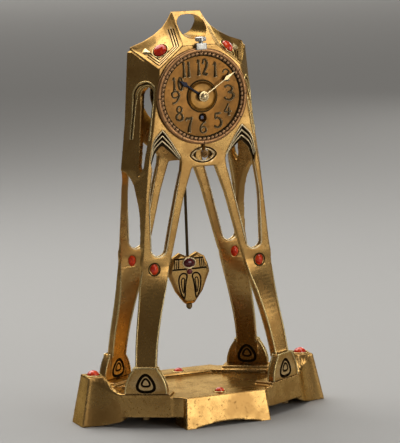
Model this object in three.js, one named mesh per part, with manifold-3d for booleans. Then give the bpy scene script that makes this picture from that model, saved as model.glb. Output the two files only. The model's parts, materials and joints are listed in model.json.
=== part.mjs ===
// Pendulum table clock: a brass tower on four twisted legs. Millimetres, +Z up, front towards -Y,
// origin on the floor under the middle of the base.
import * as THREE from 'three';
import { mergeVertices } from 'three/addons/utils/BufferGeometryUtils.js';
import Module from 'manifold-3d';

const wasm = await Module();
wasm.setup();

// Overall
const HEIGHT = 385;
const FIT_GAP = 0.3;
const SEAT_GAP = 0.15;
const RUNNING_GAP = 0.1;

// Base
const BASE_WIDTH = 250;
const BASE_DEPTH = 150;
const BASE_TOP = 29;
const PAD_TOP = BASE_TOP + 3;
const TOE_TOP = BASE_TOP + 17;
const TOE_SLOPE = 9.5;
const TOE_FLAT = 17;
const TOE_BROW = BASE_TOP + 2.5;
const TOE_HALF_DEPTH = 12;
const TOE_FLARE = 3.5;
const BLOCK_HALF_WIDTH = 40.5;
const BLOCK_FLARE = 2.5;
const BLOCK_SLOPE = 5.5;
const PANEL_NEAR = { x: 52, y: 59 };
const PANEL_FAR = { x: 91, y: 34 };
const PANEL_BOTTOM = 10;
const PAD_DEPTH = 20;
const BASE_ROOF = 8;
const TRAY_DEPTH = 3;
const BLOCK_ARCH = 4;

// Head and legs
const HEAD_FRONT = 33.5;
const FRONT_WALL = 6;
const SIDE_WALL = 4.5;
const EAVE = { x: 41.3, z: HEIGHT - 51 };
const RIDGE = { x: 57.4, z: HEIGHT - 31 };
const GABLE = { x: 17.1, z: HEIGHT - 30.5 };
const HANDLE_HALF_WIDTH = 14.7;
const HANDLE_THICKNESS = 3.2;
const HANDLE_HALF_DEPTH = 1.5;
const HANDLE_HOLE = { halfWidth: 13.2, halfHeight: 10.8 };
const ROOF_SHELL = 4;
const ROOF_SAG = 1.5;
const GABLE_STEP = 0.5;
const FRAME_LENGTH = 235;
const FRAME_FOOT = HEIGHT - FRAME_LENGTH;
const SIDE_ARCH = { z: FRAME_FOOT + 15, halfWidth: HEAD_FRONT - FRONT_WALL, rise: 73 };
const LEG_THICKNESS = FRONT_WALL;
const FLANGE = { x: 70.9, y: 45.7, turn: 32, thickness: 6, proud: 0.8 };
// Half the flange's outline, as [half width, height above the pad]
const FLANGE_EDGE = [
  [20.6, 0], [20.3, 5], [19.1, 10], [17.4, 14.5], [14.9, 19], [12.2, 22.8], [10.6, 24.8],
];

// Dial and hands, about the centre arbor
const CENTRE_Z = HEIGHT - 78.3;
const DIAL_RADIUS = 42.5;
const DIAL_PLATE = 1.5;
const RING = { inner: 38.8, outer: 45.2, thickness: 2.4 };
const FRONT_OPENING = 37;
const BOSS = { radius: 14.5, thickness: 1.2 };
const WINDING_DROP = 20.1;
const WINDING_HOLE = 4.2;
const MINUTE_ANGLE = 56.5;
const HOUR_ANGLE = 300 + MINUTE_ANGLE / 12;
const MINUTE_LENGTH = 38.5;
const HOUR_LENGTH = 28;

// Movement
const PLATE_RADIUS = 36;
const PLATE_Z = CENTRE_Z + 1.3;
const PLATE_THICKNESS = 2;
const FRONT_PLATE_Y = -16;
const BACK_PLATE_Y = 6;
const PILLAR_RADIUS = 2.2;
const ARBOR = 1.1;
const ANCHOR_Z = CENTRE_Z + 30.9;
const ESCAPE_Z = CENTRE_Z + 17.3;
const ESCAPE_RADIUS = 9;

// Pendulum
const PENDULUM_Y = 18;
const ROD_RADIUS = 1.4;
const BOB = { top: HEIGHT - 233, height: 50, halfWidth: 21.5, thickness: 8 };
const bobBottom = BOB.top - BOB.height;
const NUT_HEIGHT = 4.6;
const NUT_RADIUS = 2.9;
const ROD_TAIL = 0.8;
const nutBottom = bobBottom - NUT_HEIGHT;

const BRASS = { color: 0x9a7a3c, roughness: 0.42, metalness: 1 };
const BRIGHT_BRASS = { color: 0xc6a257, roughness: 0.3, metalness: 1 };
const BRONZE = { color: 0x8a5f2c, roughness: 0.5, metalness: 1 };
const STEEL = { color: 0x9a9a98, roughness: 0.35, metalness: 1 };
const BLUE_STEEL = { color: 0x23263a, roughness: 0.35, metalness: 1 };
const RED_STONE = { color: 0xb3160f, roughness: 0.12, metalness: 0 };
const DARK_STONE = { color: 0x4a0a10, roughness: 0.12, metalness: 0 };

const degrees = THREE.MathUtils.degToRad;
const clock = new THREE.Group();

// Solids from three.js geometry, and back
function solid(geometry) {
  const bare = geometry.clone();
  bare.deleteAttribute('normal');
  bare.deleteAttribute('uv');
  const merged = mergeVertices(bare, 1e-4);
  const mesh = new wasm.Mesh({
    numProp: 3,
    vertProperties: new Float32Array(merged.attributes.position.array),
    triVerts: new Uint32Array(merged.index.array),
  });
  return new wasm.Manifold(mesh);
}

function toGeometry(body) {
  const mesh = body.getMesh();
  const geometry = new THREE.BufferGeometry();
  geometry.setAttribute('position', new THREE.BufferAttribute(mesh.vertProperties, 3));
  geometry.setIndex(new THREE.BufferAttribute(mesh.triVerts, 1));
  return geometry;
}

function addPart(name, body, look) {
  const mesh = new THREE.Mesh(toGeometry(body), new THREE.MeshStandardMaterial(look));
  mesh.name = name;
  clock.add(mesh);
}

function join(...bodies) {
  return bodies.reduce((whole, body) => whole.add(body));
}

function cut(body, ...tools) {
  return tools.reduce((left, tool) => left.subtract(tool), body);
}

// Prisms from an outline: along Y from (x, z), along X from (y, z), along Z from (x, y)
const ALONG_Y = new THREE.Matrix4().makeBasis(
  new THREE.Vector3(1, 0, 0), new THREE.Vector3(0, 0, 1), new THREE.Vector3(0, -1, 0));
const ALONG_X = new THREE.Matrix4().makeBasis(
  new THREE.Vector3(0, 1, 0), new THREE.Vector3(0, 0, 1), new THREE.Vector3(1, 0, 0));

function extrude(outline, depth, holes) {
  const shape = new THREE.Shape(outline.map(([u, v]) => new THREE.Vector2(u, v)));
  shape.holes = holes.map((hole) => new THREE.Path(hole.map(([u, v]) => new THREE.Vector2(u, v))));
  return new THREE.ExtrudeGeometry(shape, { depth, bevelEnabled: false, curveSegments: 1 });
}

function prismY(outline, y0, y1, holes = []) {
  return solid(extrude(outline, y1 - y0, holes).applyMatrix4(ALONG_Y).translate(0, y1, 0));
}

function prismX(outline, x0, x1) {
  return solid(extrude(outline, x1 - x0, []).applyMatrix4(ALONG_X).translate(x0, 0, 0));
}

function prismZ(outline, z0, z1) {
  return solid(extrude(outline, z1 - z0, []).translate(0, 0, z0));
}

// A closed skin over rings of equal count; flat(point) gives the plane in which the end caps are filled
function loft(rings, flat) {
  const count = rings[0].length;
  const last = (rings.length - 1) * count;
  const cap = THREE.ShapeUtils.triangulateShape(rings[0].map((p) => new THREE.Vector2(...flat(p))), []);
  const triangles = [];
  for (let r = 0; r + 1 < rings.length; r += 1) {
    for (let i = 0; i < count; i += 1) {
      const a = r * count + i;
      const b = r * count + ((i + 1) % count);
      triangles.push(a, b, b + count, a, b + count, a + count);
    }
  }
  const ringArea = THREE.ShapeUtils.area(rings[0].map((p) => new THREE.Vector2(...flat(p))));
  for (const [i, j, k] of cap) {
    const start = ringArea > 0 ? [i, k, j] : [i, j, k];
    triangles.push(...start, last + start[0], last + start[2], last + start[1]);
  }
  const points = rings.flat();
  if (signedVolume(points, triangles) < 0) {
    for (let t = 0; t < triangles.length; t += 3) {
      [triangles[t + 1], triangles[t + 2]] = [triangles[t + 2], triangles[t + 1]];
    }
  }
  const mesh = new wasm.Mesh({
    numProp: 3,
    vertProperties: new Float32Array(points.flat()),
    triVerts: new Uint32Array(triangles),
  });
  return new wasm.Manifold(mesh);
}

function signedVolume(points, triangles) {
  let volume = 0;
  for (let t = 0; t < triangles.length; t += 3) {
    const [a, b, c] = [0, 1, 2].map((k) => new THREE.Vector3(...points[triangles[t + k]]));
    volume += a.dot(b.cross(c)) / 6;
  }
  return volume;
}

const flatXY = ([x, y]) => [x, y];
const flatYZ = ([, y, z]) => [y, z];

function circle(radius, sides, u = 0, v = 0) {
  const points = [];
  for (let i = 0; i < sides; i += 1) {
    const turn = (2 * Math.PI * i) / sides;
    points.push([u + radius * Math.cos(turn), v + radius * Math.sin(turn)]);
  }
  return points;
}

function bothSides(right) {
  return [...right, ...[...right].reverse().map(([u, v]) => [-u, v])];
}

// A round hole whose flats stay clear of a shaft of this radius
function boreOutline(radius, u, v, sides = 12) {
  return circle((radius + RUNNING_GAP) / Math.cos(Math.PI / sides), sides, u, v);
}

function rod(radius, y0, y1, x, z, sides = 12) {
  return prismY(circle(radius, sides, x, z), y0, y1);
}

// An ellipsoid placed at a point, with its own axes turned by a quaternion
function stone(centre, radii, turn = new THREE.Quaternion()) {
  const place = new THREE.Vector3(...centre);
  const matrix = new THREE.Matrix4().compose(place, turn, new THREE.Vector3(...radii));
  return solid(new THREE.SphereGeometry(1, 12, 6).applyMatrix4(matrix));
}

// The same solid on the other side of the plane across an axis
function mirrored(body, axis) {
  const geometry = toGeometry(body);
  geometry.scale(axis === 'x' ? -1 : 1, axis === 'y' ? -1 : 1, 1);
  const index = geometry.index.array;
  for (let t = 0; t < index.length; t += 3) {
    [index[t + 1], index[t + 2]] = [index[t + 2], index[t + 1]];
  }
  return solid(geometry);
}

// A value read along a list of [place, value] pairs
function along(pairs, place) {
  const up = pairs[0][0] < pairs[1][0];
  const list = up ? pairs : [...pairs].reverse();
  if (place <= list[0][0]) return list[0][1];
  for (let i = 0; i + 1 < list.length; i += 1) {
    const [p0, v0] = list[i];
    const [p1, v1] = list[i + 1];
    if (place <= p1) return v0 + ((v1 - v0) * (place - p0)) / (p1 - p0);
  }
  return list[list.length - 1][1];
}

// Base: core slab, two end blocks, two toes, four pads, tray and hollow underside
function allRound(quarter) {
  const back = [...quarter].reverse();
  return [
    ...quarter.map(([x, y]) => [x, y]),
    ...back.map(([x, y]) => [-x, y]),
    ...quarter.map(([x, y]) => [-x, -y]),
    ...back.map(([x, y]) => [x, -y]),
  ];
}

const panelRun = Math.hypot(PANEL_FAR.x - PANEL_NEAR.x, PANEL_FAR.y - PANEL_NEAR.y);
const panelNormal = [(PANEL_NEAR.y - PANEL_FAR.y) / panelRun, (PANEL_FAR.x - PANEL_NEAR.x) / panelRun];

function panelPoint(corner, inset) {
  return [corner.x - panelNormal[0] * inset, corner.y - panelNormal[1] * inset];
}

const blockFront = BASE_DEPTH / 2 - BLOCK_SLOPE;
const toeEnd = BASE_WIDTH / 2 - TOE_SLOPE;
const coreQuarter = [
  [PANEL_FAR.x + 7, TOE_HALF_DEPTH + 4],
  [PANEL_FAR.x, PANEL_FAR.y],
  [PANEL_NEAR.x, PANEL_NEAR.y],
  [PANEL_NEAR.x - 3.4, PANEL_NEAR.y + 0.4],
  [BLOCK_HALF_WIDTH + 4, PANEL_NEAR.y + 2.4],
  [BLOCK_HALF_WIDTH + 1.2, PANEL_NEAR.y + 6],
  [BLOCK_HALF_WIDTH, blockFront],
];

function insetCore(inset) {
  return allRound([
    [PANEL_FAR.x + 7 - inset, TOE_HALF_DEPTH],
    panelPoint(PANEL_FAR, inset),
    panelPoint(PANEL_NEAR, inset),
    [BLOCK_HALF_WIDTH - inset * 0.4, blockFront - inset],
  ]);
}

const toeRoot = PANEL_FAR.x - 7;
const toeReach = toeEnd - toeRoot;

function toeTop(x) {
  const climb = Math.min(1, (x - toeRoot) / (toeReach - TOE_FLAT));
  return BASE_TOP + (TOE_TOP - BASE_TOP) * climb ** 2;
}

// The toe's flared brow, from the panel's corner up to the toe's outer corner
function toeBrow(x) {
  const share = Math.max(0, (x - PANEL_FAR.x) / (toeEnd - PANEL_FAR.x));
  return [TOE_HALF_DEPTH + (PANEL_FAR.y - TOE_HALF_DEPTH) * (1 - share) ** 2,
    TOE_BROW + (TOE_TOP - TOE_BROW) * share ** 1.45];
}

function makeToe() {
  const stations = 10;
  const rings = [];
  for (let i = 0; i <= stations; i += 1) {
    const t = i / stations;
    const x = toeRoot + toeReach * t;
    const top = toeTop(x);
    const bottom = PANEL_BOTTOM * (1 - Math.min(1, t * 1.25)) ** 2;
    const flat = TOE_HALF_DEPTH - SEAT_GAP;
    const [half, brow] = toeBrow(x);
    const halfBottom = half + TOE_FLARE * t;
    const xBottom = x + TOE_SLOPE * t;
    rings.push([
      [x, -flat, top], [x, flat, top], [x, half, brow - SEAT_GAP],
      [xBottom, halfBottom, bottom], [xBottom, -halfBottom, bottom], [x, -half, brow - SEAT_GAP],
    ]);
  }
  return loft(rings, flatYZ);
}

function makeBlock() {
  const inner = -BASE_DEPTH * 0.3;
  const low = BLOCK_HALF_WIDTH + BLOCK_FLARE;
  const foot = -BASE_DEPTH / 2;
  const body = loft([
    [[-low, foot, 0], [low, foot, 0], [low, inner, 0], [-low, inner, 0]],
    [[-BLOCK_HALF_WIDTH, -blockFront, BASE_TOP], [BLOCK_HALF_WIDTH, -blockFront, BASE_TOP],
      [BLOCK_HALF_WIDTH, inner, BASE_TOP], [-BLOCK_HALF_WIDTH, inner, BASE_TOP]],
  ], flatXY);
  const arch = [];
  const archHalf = BLOCK_HALF_WIDTH * 0.8;
  for (let i = 0; i <= 10; i += 1) {
    const u = -1 + i / 5;
    arch.push([archHalf * u, BLOCK_ARCH * (1 - u * u) - 0.01]);
  }
  return cut(body, prismY(arch, foot - 1, inner + 1));
}

function makePad() {
  const outline = [
    panelPoint(PANEL_FAR, 0), panelPoint(PANEL_NEAR, 0),
    panelPoint(PANEL_NEAR, PAD_DEPTH), panelPoint(PANEL_FAR, PAD_DEPTH),
  ];
  return prismZ(outline, BASE_TOP - 2, PAD_TOP);
}

function fourWays(body) {
  const right = join(body, mirrored(body, 'y'));
  return join(right, mirrored(right, 'x'));
}

const footSpot = { x: FLANGE.x, y: FLANGE.y - FLANGE.thickness / 2 };
const SCREW = { radius: 1.6, head: 3.4, headHeight: 2.5, reach: 12 };
const CORNERS = [
  ['front_left', -1, -1], ['front_right', 1, -1], ['back_left', -1, 1], ['back_right', 1, 1],
];

const BASE_STONE = [4.6, 4.6, 3.6];
const TOE_STONE_INSET = 8.5;
const BLOCK_STONE_INSET = 15.5;
const toeStone = { x: toeEnd - TOE_STONE_INSET, z: TOE_TOP };
const blockStoneY = blockFront - BLOCK_STONE_INSET;
const baseStones = [
  ['front', [0, -blockStoneY, BASE_TOP]], ['back', [0, blockStoneY, BASE_TOP]],
  ['left', [-toeStone.x, 0, toeStone.z]], ['right', [toeStone.x, 0, toeStone.z]],
];

function grown(radii) {
  return radii.map((radius) => radius + SEAT_GAP);
}

function makeBase() {
  const spread = 1.02;
  const ring = allRound(coreQuarter);
  const core = loft([
    ring.map(([x, y]) => [x * spread, y * spread, PANEL_BOTTOM]),
    ring.map(([x, y]) => [x, y, BASE_TOP]),
  ], flatXY);
  const toe = makeToe();
  const block = makeBlock();
  const whole = join(core, toe, mirrored(toe, 'x'), block, mirrored(block, 'y'), fourWays(makePad()));
  const tray = prismZ(insetCore(PAD_DEPTH + 3), BASE_TOP - TRAY_DEPTH, PAD_TOP + 1);
  const hollow = prismZ(insetCore(PAD_DEPTH), -1, BASE_TOP - BASE_ROOF);
  const holes = CORNERS.map(([, sx, sy]) => prismZ(
    boreOutline(SCREW.radius, sx * footSpot.x, sy * footSpot.y), -1, PAD_TOP + 1));
  const seats = baseStones.map(([, centre]) => stone(centre, grown(BASE_STONE)));
  return cut(whole, tray, hollow, ...holes, ...seats);
}

// Head: a six-sided shell, wider towards the foot, as rings of half a hexagon
// Each edge is a list of [depth below the top, half width]
const FRONT_EDGE = [
  [51, EAVE.x], [88, 45.2], [106, 49.4], [134, 55.3], [171, 59.6], [218, 63.7], [235, 66],
];
const RIDGE_EDGE = [[31, RIDGE.x], [43, 61], [80, 63], [110, 66.2], [145, 71], [218, 73], [235, 69]];
const HEAD_LEVELS = [0.092, 0.348, 0.489, 0.701, 1];

function headLoft(wall, front, back, z0, z1) {
  const levels = HEAD_LEVELS.map((share) => FRAME_FOOT + (EAVE.z - FRAME_FOOT) * share);
  return loft([z0, ...levels, z1].map((z) => {
    const face = along(FRONT_EDGE, HEIGHT - z) - wall * 1.1;
    const ridge = along(RIDGE_EDGE, HEIGHT - z) - wall * 1.15;
    const spread = ridge + ((ridge - face) * back) / front;
    const half = [[-ridge, 0, z], [-face, -front, z], [face, -front, z], [ridge, 0, z]];
    return back > 0 ? [[-spread, back, z], ...half, [spread, back, z]] : half;
  }), flatXY);
}

// Openings of the front, as lists of [x, depth below the top]
const SLOT_INNER = [[40, 123], [22.5, 138], [23.5, 147], [29.4, 172]];
const SLOT_OUTER = [[55.6, 172], [51, 141], [47, 130]];
const SLOT_ROUND = { x: 48.2, z: FRAME_FOOT + 16, radius: 8 };
const SLOT_STEPS = 3;
const SLOT_STEP_RISE = 5;
const SLOT_STEP_DEPTH = 1.2;
const VEE = [[11.5, 145], [21, 172]];

function fromTop(pairs) {
  return pairs.map(([x, depth]) => [x, HEIGHT - depth]);
}

function slotOutline() {
  const round = [];
  for (let i = 0; i <= 5; i += 1) {
    const turn = degrees(-8 - 32.8 * i);
    const [across, up] = [SLOT_ROUND.radius * Math.cos(turn), SLOT_ROUND.radius * Math.sin(turn)];
    round.push([SLOT_ROUND.x - across, SLOT_ROUND.z + up]);
  }
  return [...fromTop(SLOT_INNER), ...round, ...fromTop(SLOT_OUTER)];
}

function stepOutline(step) {
  const rise = SLOT_STEP_RISE * step;
  const [apex, shoulder, brow] = fromTop(SLOT_INNER);
  const [, cheek, temple] = fromTop(SLOT_OUTER);
  return [[apex[0], apex[1] + rise], [shoulder[0] + 0.5, shoulder[1] + 0.5 + step],
    [brow[0] + 3.5, brow[1]], [cheek[0], brow[1]], [cheek[0] + 1 + 0.3 * step, cheek[1] + 2 + 1.5 * step],
    [temple[0] + 0.5 + 0.3 * step, temple[1] + 1 + 0.75 * rise]];
}

const EYE = { z: HEIGHT - 133.5, hole: 6.8, halfWidth: 13, halfHeight: 6.8, depth: 1.2 };

function eyeOutline() {
  const points = [];
  for (let i = 0; i < 12; i += 1) {
    const turn = (2 * Math.PI * i) / 12;
    const bow = Math.sin(turn);
    points.push([EYE.halfWidth * Math.cos(turn), EYE.z + EYE.halfHeight * bow * Math.abs(bow) ** 0.3]);
  }
  return points;
}

// Side slot, as [y, depth below the top]: a round head over a tapering tail
const SIDE_SLOT = { y: -20.5, z: HEIGHT - 77, halfWidth: 7.5, rise: 9 };
const SIDE_TAIL = [[-26.5, 112], [-25.6, 142], [-22, 149], [-18.4, 142], [-15.6, 112]];

function sideOutline(margin) {
  const points = [];
  for (let i = 0; i <= 6; i += 1) {
    const turn = (Math.PI * i) / 6;
    const [wide, rise] = [SIDE_SLOT.halfWidth + margin, SIDE_SLOT.rise + 2 * margin];
    points.push([SIDE_SLOT.y + wide * Math.cos(turn), SIDE_SLOT.z + rise * Math.sin(turn)]);
  }
  const ease = margin * 0.7;
  const tail = fromTop(SIDE_TAIL).map(([y, z], i) => [
    y + Math.sign(i - 2) * ease, i === 2 ? z - margin : z]);
  return [...points, ...tail];
}

function sideArchOutline() {
  const points = [];
  for (let i = 0; i <= 14; i += 1) {
    const turn = (Math.PI * i) / 14;
    points.push([SIDE_ARCH.halfWidth * Math.cos(turn), SIDE_ARCH.z + SIDE_ARCH.rise * Math.sin(turn)]);
  }
  return [...points, [-SIDE_ARCH.halfWidth, FRAME_FOOT - 5], [SIDE_ARCH.halfWidth, FRAME_FOOT - 5]];
}

// Leg: sections from the head down to its flange, turning to face the base's panel
const legHeight = FRAME_FOOT - PAD_TOP;
const LEG_SECTIONS = [
  { z: FRAME_FOOT + 7, x: 51.6, y: HEAD_FRONT, width: 28, turn: 0 },
  { z: FRAME_FOOT - 4, x: 52.4, y: HEAD_FRONT, width: 27.5, turn: 3 },
  { z: PAD_TOP + 0.847 * legHeight, x: 55.4, y: HEAD_FRONT + 0.8, width: 26.3, turn: 12 },
  { z: PAD_TOP + 0.729 * legHeight, x: 58.5, y: HEAD_FRONT + 2.1, width: 24.2, turn: 20 },
  { z: PAD_TOP + 0.576 * legHeight, x: 62.4, y: HEAD_FRONT + 3.9, width: 22.3, turn: 25 },
  { z: PAD_TOP + 0.407 * legHeight, x: 66.3, y: HEAD_FRONT + 6.3, width: 20.9, turn: 27 },
  { z: PAD_TOP + 0.254 * legHeight, x: 68.8, y: HEAD_FRONT + 8.8, width: 20.1, turn: 29 },
  { z: PAD_TOP + 0.153 * legHeight, x: 70, y: HEAD_FRONT + 10.6, width: 20.6, turn: 31 },
  { z: PAD_TOP, x: FLANGE.x, y: FLANGE.y, width: 24, turn: FLANGE.turn },
];

const LEG_STEPS = 32;

// Rings along a smooth curve through the sections
function legRings() {
  const path = new THREE.CatmullRomCurve3(
    LEG_SECTIONS.map(({ x, y, z }) => new THREE.Vector3(x, y, z)), false, 'catmullrom', 0.5);
  const form = new THREE.CatmullRomCurve3(
    LEG_SECTIONS.map(({ width, turn }) => new THREE.Vector3(width, turn, 0)), false, 'catmullrom', 0.5);
  const rings = [];
  for (let i = 0; i <= LEG_STEPS; i += 1) {
    const { x, y, z } = path.getPoint(i / LEG_STEPS);
    const { x: width, y: turn } = form.getPoint(i / LEG_STEPS);
    rings.push(legRing({ z, x, y, width, turn }));
  }
  return rings;
}

function legRing({ z, x, y, width, turn }) {
  const [c, s] = [Math.cos(degrees(turn)), Math.sin(degrees(turn))];
  const corner = (side, deep) => [
    x - side * (width / 2) * c - deep * LEG_THICKNESS * s,
    -y - side * (width / 2) * s + deep * LEG_THICKNESS * c,
    z,
  ];
  return [corner(-1, 0), corner(1, 0), corner(1, 1), corner(-1, 1)];
}

function makeFlange() {
  const outline = bothSides(FLANGE_EDGE.map(([half, rise]) => [half, PAD_TOP + rise]));
  const shape = extrude(outline, FLANGE.thickness + FLANGE.proud, []).applyMatrix4(ALONG_Y);
  shape.translate(0, FLANGE.thickness, 0).rotateZ(degrees(FLANGE.turn));
  return solid(shape.translate(FLANGE.x, -FLANGE.y, 0));
}

const ROOF_STATIONS = [
  ...[0, 0.08, 0.285, 0.657].map((share) => GABLE.x + (EAVE.x - GABLE.x) * share),
  ...[0, 0.168, 0.478, 1].map((share) => EAVE.x + (RIDGE.x - EAVE.x) * share),
];
const LEG_STONE = [4.3, 5.4, 5.8];
const legStoneSpot = { x: 53.3, y: HEAD_FRONT - LEG_THICKNESS / 2, z: FRAME_FOOT - 3 };

function roofUnderside(gap) {
  const reach = 100;
  const right = loft([0, GABLE.x - GABLE_STEP, ...ROOF_STATIONS, reach].map((x) => {
    const low = eaveLevel(x) - ROOF_SHELL - gap;
    const peak = x < GABLE.x ? low : ridgeLevel(x) - ROOF_SHELL - 1 - gap;
    const half = eaveHalfDepth(x);
    return [[x, reach, low], [x, half, low], [x, 0, peak], [x, -half, low], [x, -reach, low],
      [x, -reach, HEIGHT + 50], [x, reach, HEIGHT + 50]];
  }), flatYZ);
  return join(right, mirrored(right, 'x'));
}

function makeFrontFrame() {
  const shell = headLoft(0, HEAD_FRONT, 0, FRAME_FOOT, HEIGHT);
  const room = headLoft(SIDE_WALL, HEAD_FRONT - FRONT_WALL, 5, FRAME_FOOT - 1, HEIGHT + 1);
  const skin = headLoft(1.5, HEAD_FRONT - 1.5, 5, FRAME_FOOT - 1, HEIGHT + 1);
  const through = [-HEAD_FRONT - 5, -HEAD_FRONT + FRONT_WALL + 5];
  const rightCuts = [prismY(slotOutline(), ...through)];
  for (let step = 1; step <= SLOT_STEPS; step += 1) {
    const depth = SLOT_STEP_DEPTH * (SLOT_STEPS + 1 - step);
    rightCuts.push(prismY(stepOutline(step), -HEAD_FRONT - 5, -HEAD_FRONT + depth));
  }
  const vee = [...fromTop(VEE), [33.3, SIDE_ARCH.z], [37.6, FRAME_FOOT - 1]];
  const veeOutline = [...vee, ...[...vee].reverse().map(([x, z]) => [-x, z])];
  const wall = cut(
    shell, room, roofUnderside(FIT_GAP),
    ...rightCuts, ...rightCuts.map((tool) => mirrored(tool, 'x')),
    prismY(veeOutline.reverse(), ...through),
    rod(FRONT_OPENING, ...through, 0, CENTRE_Z, 32),
    rod(EYE.hole, ...through, 0, EYE.z, 16),
    prismY(eyeOutline(), -HEAD_FRONT - 1, -HEAD_FRONT + EYE.depth),
    prismX(sideOutline(0), -BASE_WIDTH, BASE_WIDTH),
    prismX(sideOutline(2.6), -BASE_WIDTH, BASE_WIDTH).subtract(skin),
    prismX(sideArchOutline(), -BASE_WIDTH, BASE_WIDTH));
  const leg = join(loft(legRings(), flatXY), makeFlange());
  const screwBore = boreOutline(SCREW.radius, footSpot.x, -footSpot.y);
  const screwHole = prismZ(screwBore, 0, PAD_TOP + SCREW.reach + 1);
  const seat = stone([legStoneSpot.x, -legStoneSpot.y, legStoneSpot.z], grown(LEG_STONE));
  const drilled = cut(leg, screwHole);
  const whole = join(wall, drilled, mirrored(drilled, 'x'));
  return cut(whole, seat, mirrored(seat, 'x'));
}

// Roof: chevron sections along X over each side, closed by the walls, floor and bar of the loop handle
const RIDGE_LINE = [[HANDLE_HALF_WIDTH, 0], [19, 7.5], [24, 14], [33, 20.7], [44, 26.4], [RIDGE.x, 31]];

function ridgeLevel(x) {
  return HEIGHT - along(RIDGE_LINE, x);
}

function eaveLevel(x) {
  return along([[GABLE.x, GABLE.z], [EAVE.x, EAVE.z], [RIDGE.x, RIDGE.z]], x);
}

function eaveHalfDepth(x) {
  return along([[EAVE.x, HEAD_FRONT], [RIDGE.x, 0.6]], x);
}

function roofWing() {
  const front = loft([HANDLE_HALF_WIDTH, ...ROOF_STATIONS].map((x) => {
    const half = eaveHalfDepth(x);
    const low = eaveLevel(x);
    const peak = ridgeLevel(x);
    const across = [0, 0.25, 0.5, 0.75, 1].map((share) => [
      x, -half * (1 - share), low + (peak - low) * share - 4 * ROOF_SAG * share * (1 - share)]);
    return [...across, [x, 0, peak - ROOF_SHELL - 1], [x, -half, low - ROOF_SHELL]];
  }), flatYZ);
  return join(front, mirrored(front, 'y'));
}

// The handle's hole: a rounded oblong through the gable
function handleHole() {
  const points = [];
  const middle = HEIGHT - HANDLE_THICKNESS - HANDLE_HOLE.halfHeight;
  const round = (value) => Math.sign(value) * Math.abs(value) ** 0.77;
  for (let i = 0; i < 28; i += 1) {
    const turn = (2 * Math.PI * i) / 28;
    const [across, up] = [round(Math.cos(turn)), round(Math.sin(turn))];
    points.push([HANDLE_HOLE.halfWidth * across, middle + HANDLE_HOLE.halfHeight * up]);
  }
  return points;
}

const gableFoot = GABLE.x - GABLE_STEP;

function gableRing(halfWidth, halfDepth, z) {
  return [[-halfWidth, -halfDepth, z], [halfWidth, -halfDepth, z], [halfWidth, halfDepth, z],
    [-halfWidth, halfDepth, z]];
}

const ROOF_STONE = [6.6, 6.2, 3.4];

function roofStoneTurn() {
  const downhill = new THREE.Vector3(EAVE.x - GABLE.x, 0, EAVE.z - GABLE.z);
  const across = new THREE.Vector3(RIDGE.x - EAVE.x, HEAD_FRONT, RIDGE.z - EAVE.z);
  const normal = downhill.cross(across).normalize();
  return new THREE.Quaternion().setFromUnitVectors(new THREE.Vector3(0, 0, 1), normal);
}

const roofStoneSpot = [34, -19, HEIGHT - 34.4];

function makeRoof() {
  const wing = roofWing();
  const gable = loft([
    gableRing(gableFoot, HEAD_FRONT, GABLE.z - ROOF_SHELL), gableRing(gableFoot, HEAD_FRONT, GABLE.z),
    gableRing(HANDLE_HALF_WIDTH, HANDLE_HALF_DEPTH, HEIGHT),
  ], flatXY);
  const hole = prismY(handleHole(), -HEAD_FRONT - 1, HEAD_FRONT + 1);
  const seat = stone(roofStoneSpot, grown(ROOF_STONE), roofStoneTurn());
  return cut(join(wing, mirrored(wing, 'x'), gable), hole, fourWays(seat));
}

addPart('base', makeBase(), BRASS);
const frontFrame = makeFrontFrame();
addPart('front_frame', frontFrame, BRASS);
addPart('back_frame', mirrored(frontFrame, 'y'), BRASS);
addPart('roof', makeRoof(), BRASS);

// Stones and the screws under the feet
baseStones.forEach(([place, centre]) => {
  addPart(`base_jewel_${place}`, stone(centre, BASE_STONE), RED_STONE);
});
CORNERS.forEach(([place, sx, sy]) => {
  const leg = stone([sx * legStoneSpot.x, sy * legStoneSpot.y, legStoneSpot.z], LEG_STONE);
  addPart(`leg_jewel_${place}`, leg, RED_STONE);
  const right = stone(roofStoneSpot, ROOF_STONE, roofStoneTurn());
  const front = sx > 0 ? right : mirrored(right, 'x');
  addPart(`roof_jewel_${place}`, sy < 0 ? front : mirrored(front, 'y'), RED_STONE);
  const [x, y] = [sx * footSpot.x, sy * footSpot.y];
  const head = prismZ(circle(SCREW.head, 12, x, y), PANEL_BOTTOM - SCREW.headHeight, PANEL_BOTTOM);
  const shank = prismZ(circle(SCREW.radius, 16, x, y), PANEL_BOTTOM - 1, PAD_TOP + SCREW.reach);
  addPart(`foot_screw_${place}`, join(head, shank), STEEL);
});

// Dial: plate on the front face, ring and boss on the plate, a clip at twelve and a stud under six
const plateFace = -HEAD_FRONT - DIAL_PLATE;
const ringFace = plateFace - RING.thickness;
const bossFace = plateFace - BOSS.thickness;
const windingZ = CENTRE_Z - WINDING_DROP;
const HOUR_PIPE = 2.9;
const CANNON_PIPE = 1.9;

function makeDialPlate() {
  const holes = [circle(HOUR_PIPE + 0.5, 20, 0, CENTRE_Z), circle(WINDING_HOLE, 20, 0, windingZ)];
  return prismY(circle(DIAL_RADIUS, 48, 0, CENTRE_Z), plateFace, -HEAD_FRONT, holes);
}

function makeDialRing() {
  const chamfer = 0.8;
  const profile = [
    [RING.inner, 0], [RING.outer, 0], [RING.outer, -RING.thickness + chamfer],
    [RING.outer - chamfer, -RING.thickness], [RING.inner + chamfer, -RING.thickness],
    [RING.inner, -RING.thickness + chamfer],
  ];
  const points = [...profile, profile[0]].map(([r, y]) => new THREE.Vector2(r, y)).reverse();
  return solid(new THREE.LatheGeometry(points, 48).translate(0, plateFace, CENTRE_Z));
}

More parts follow.
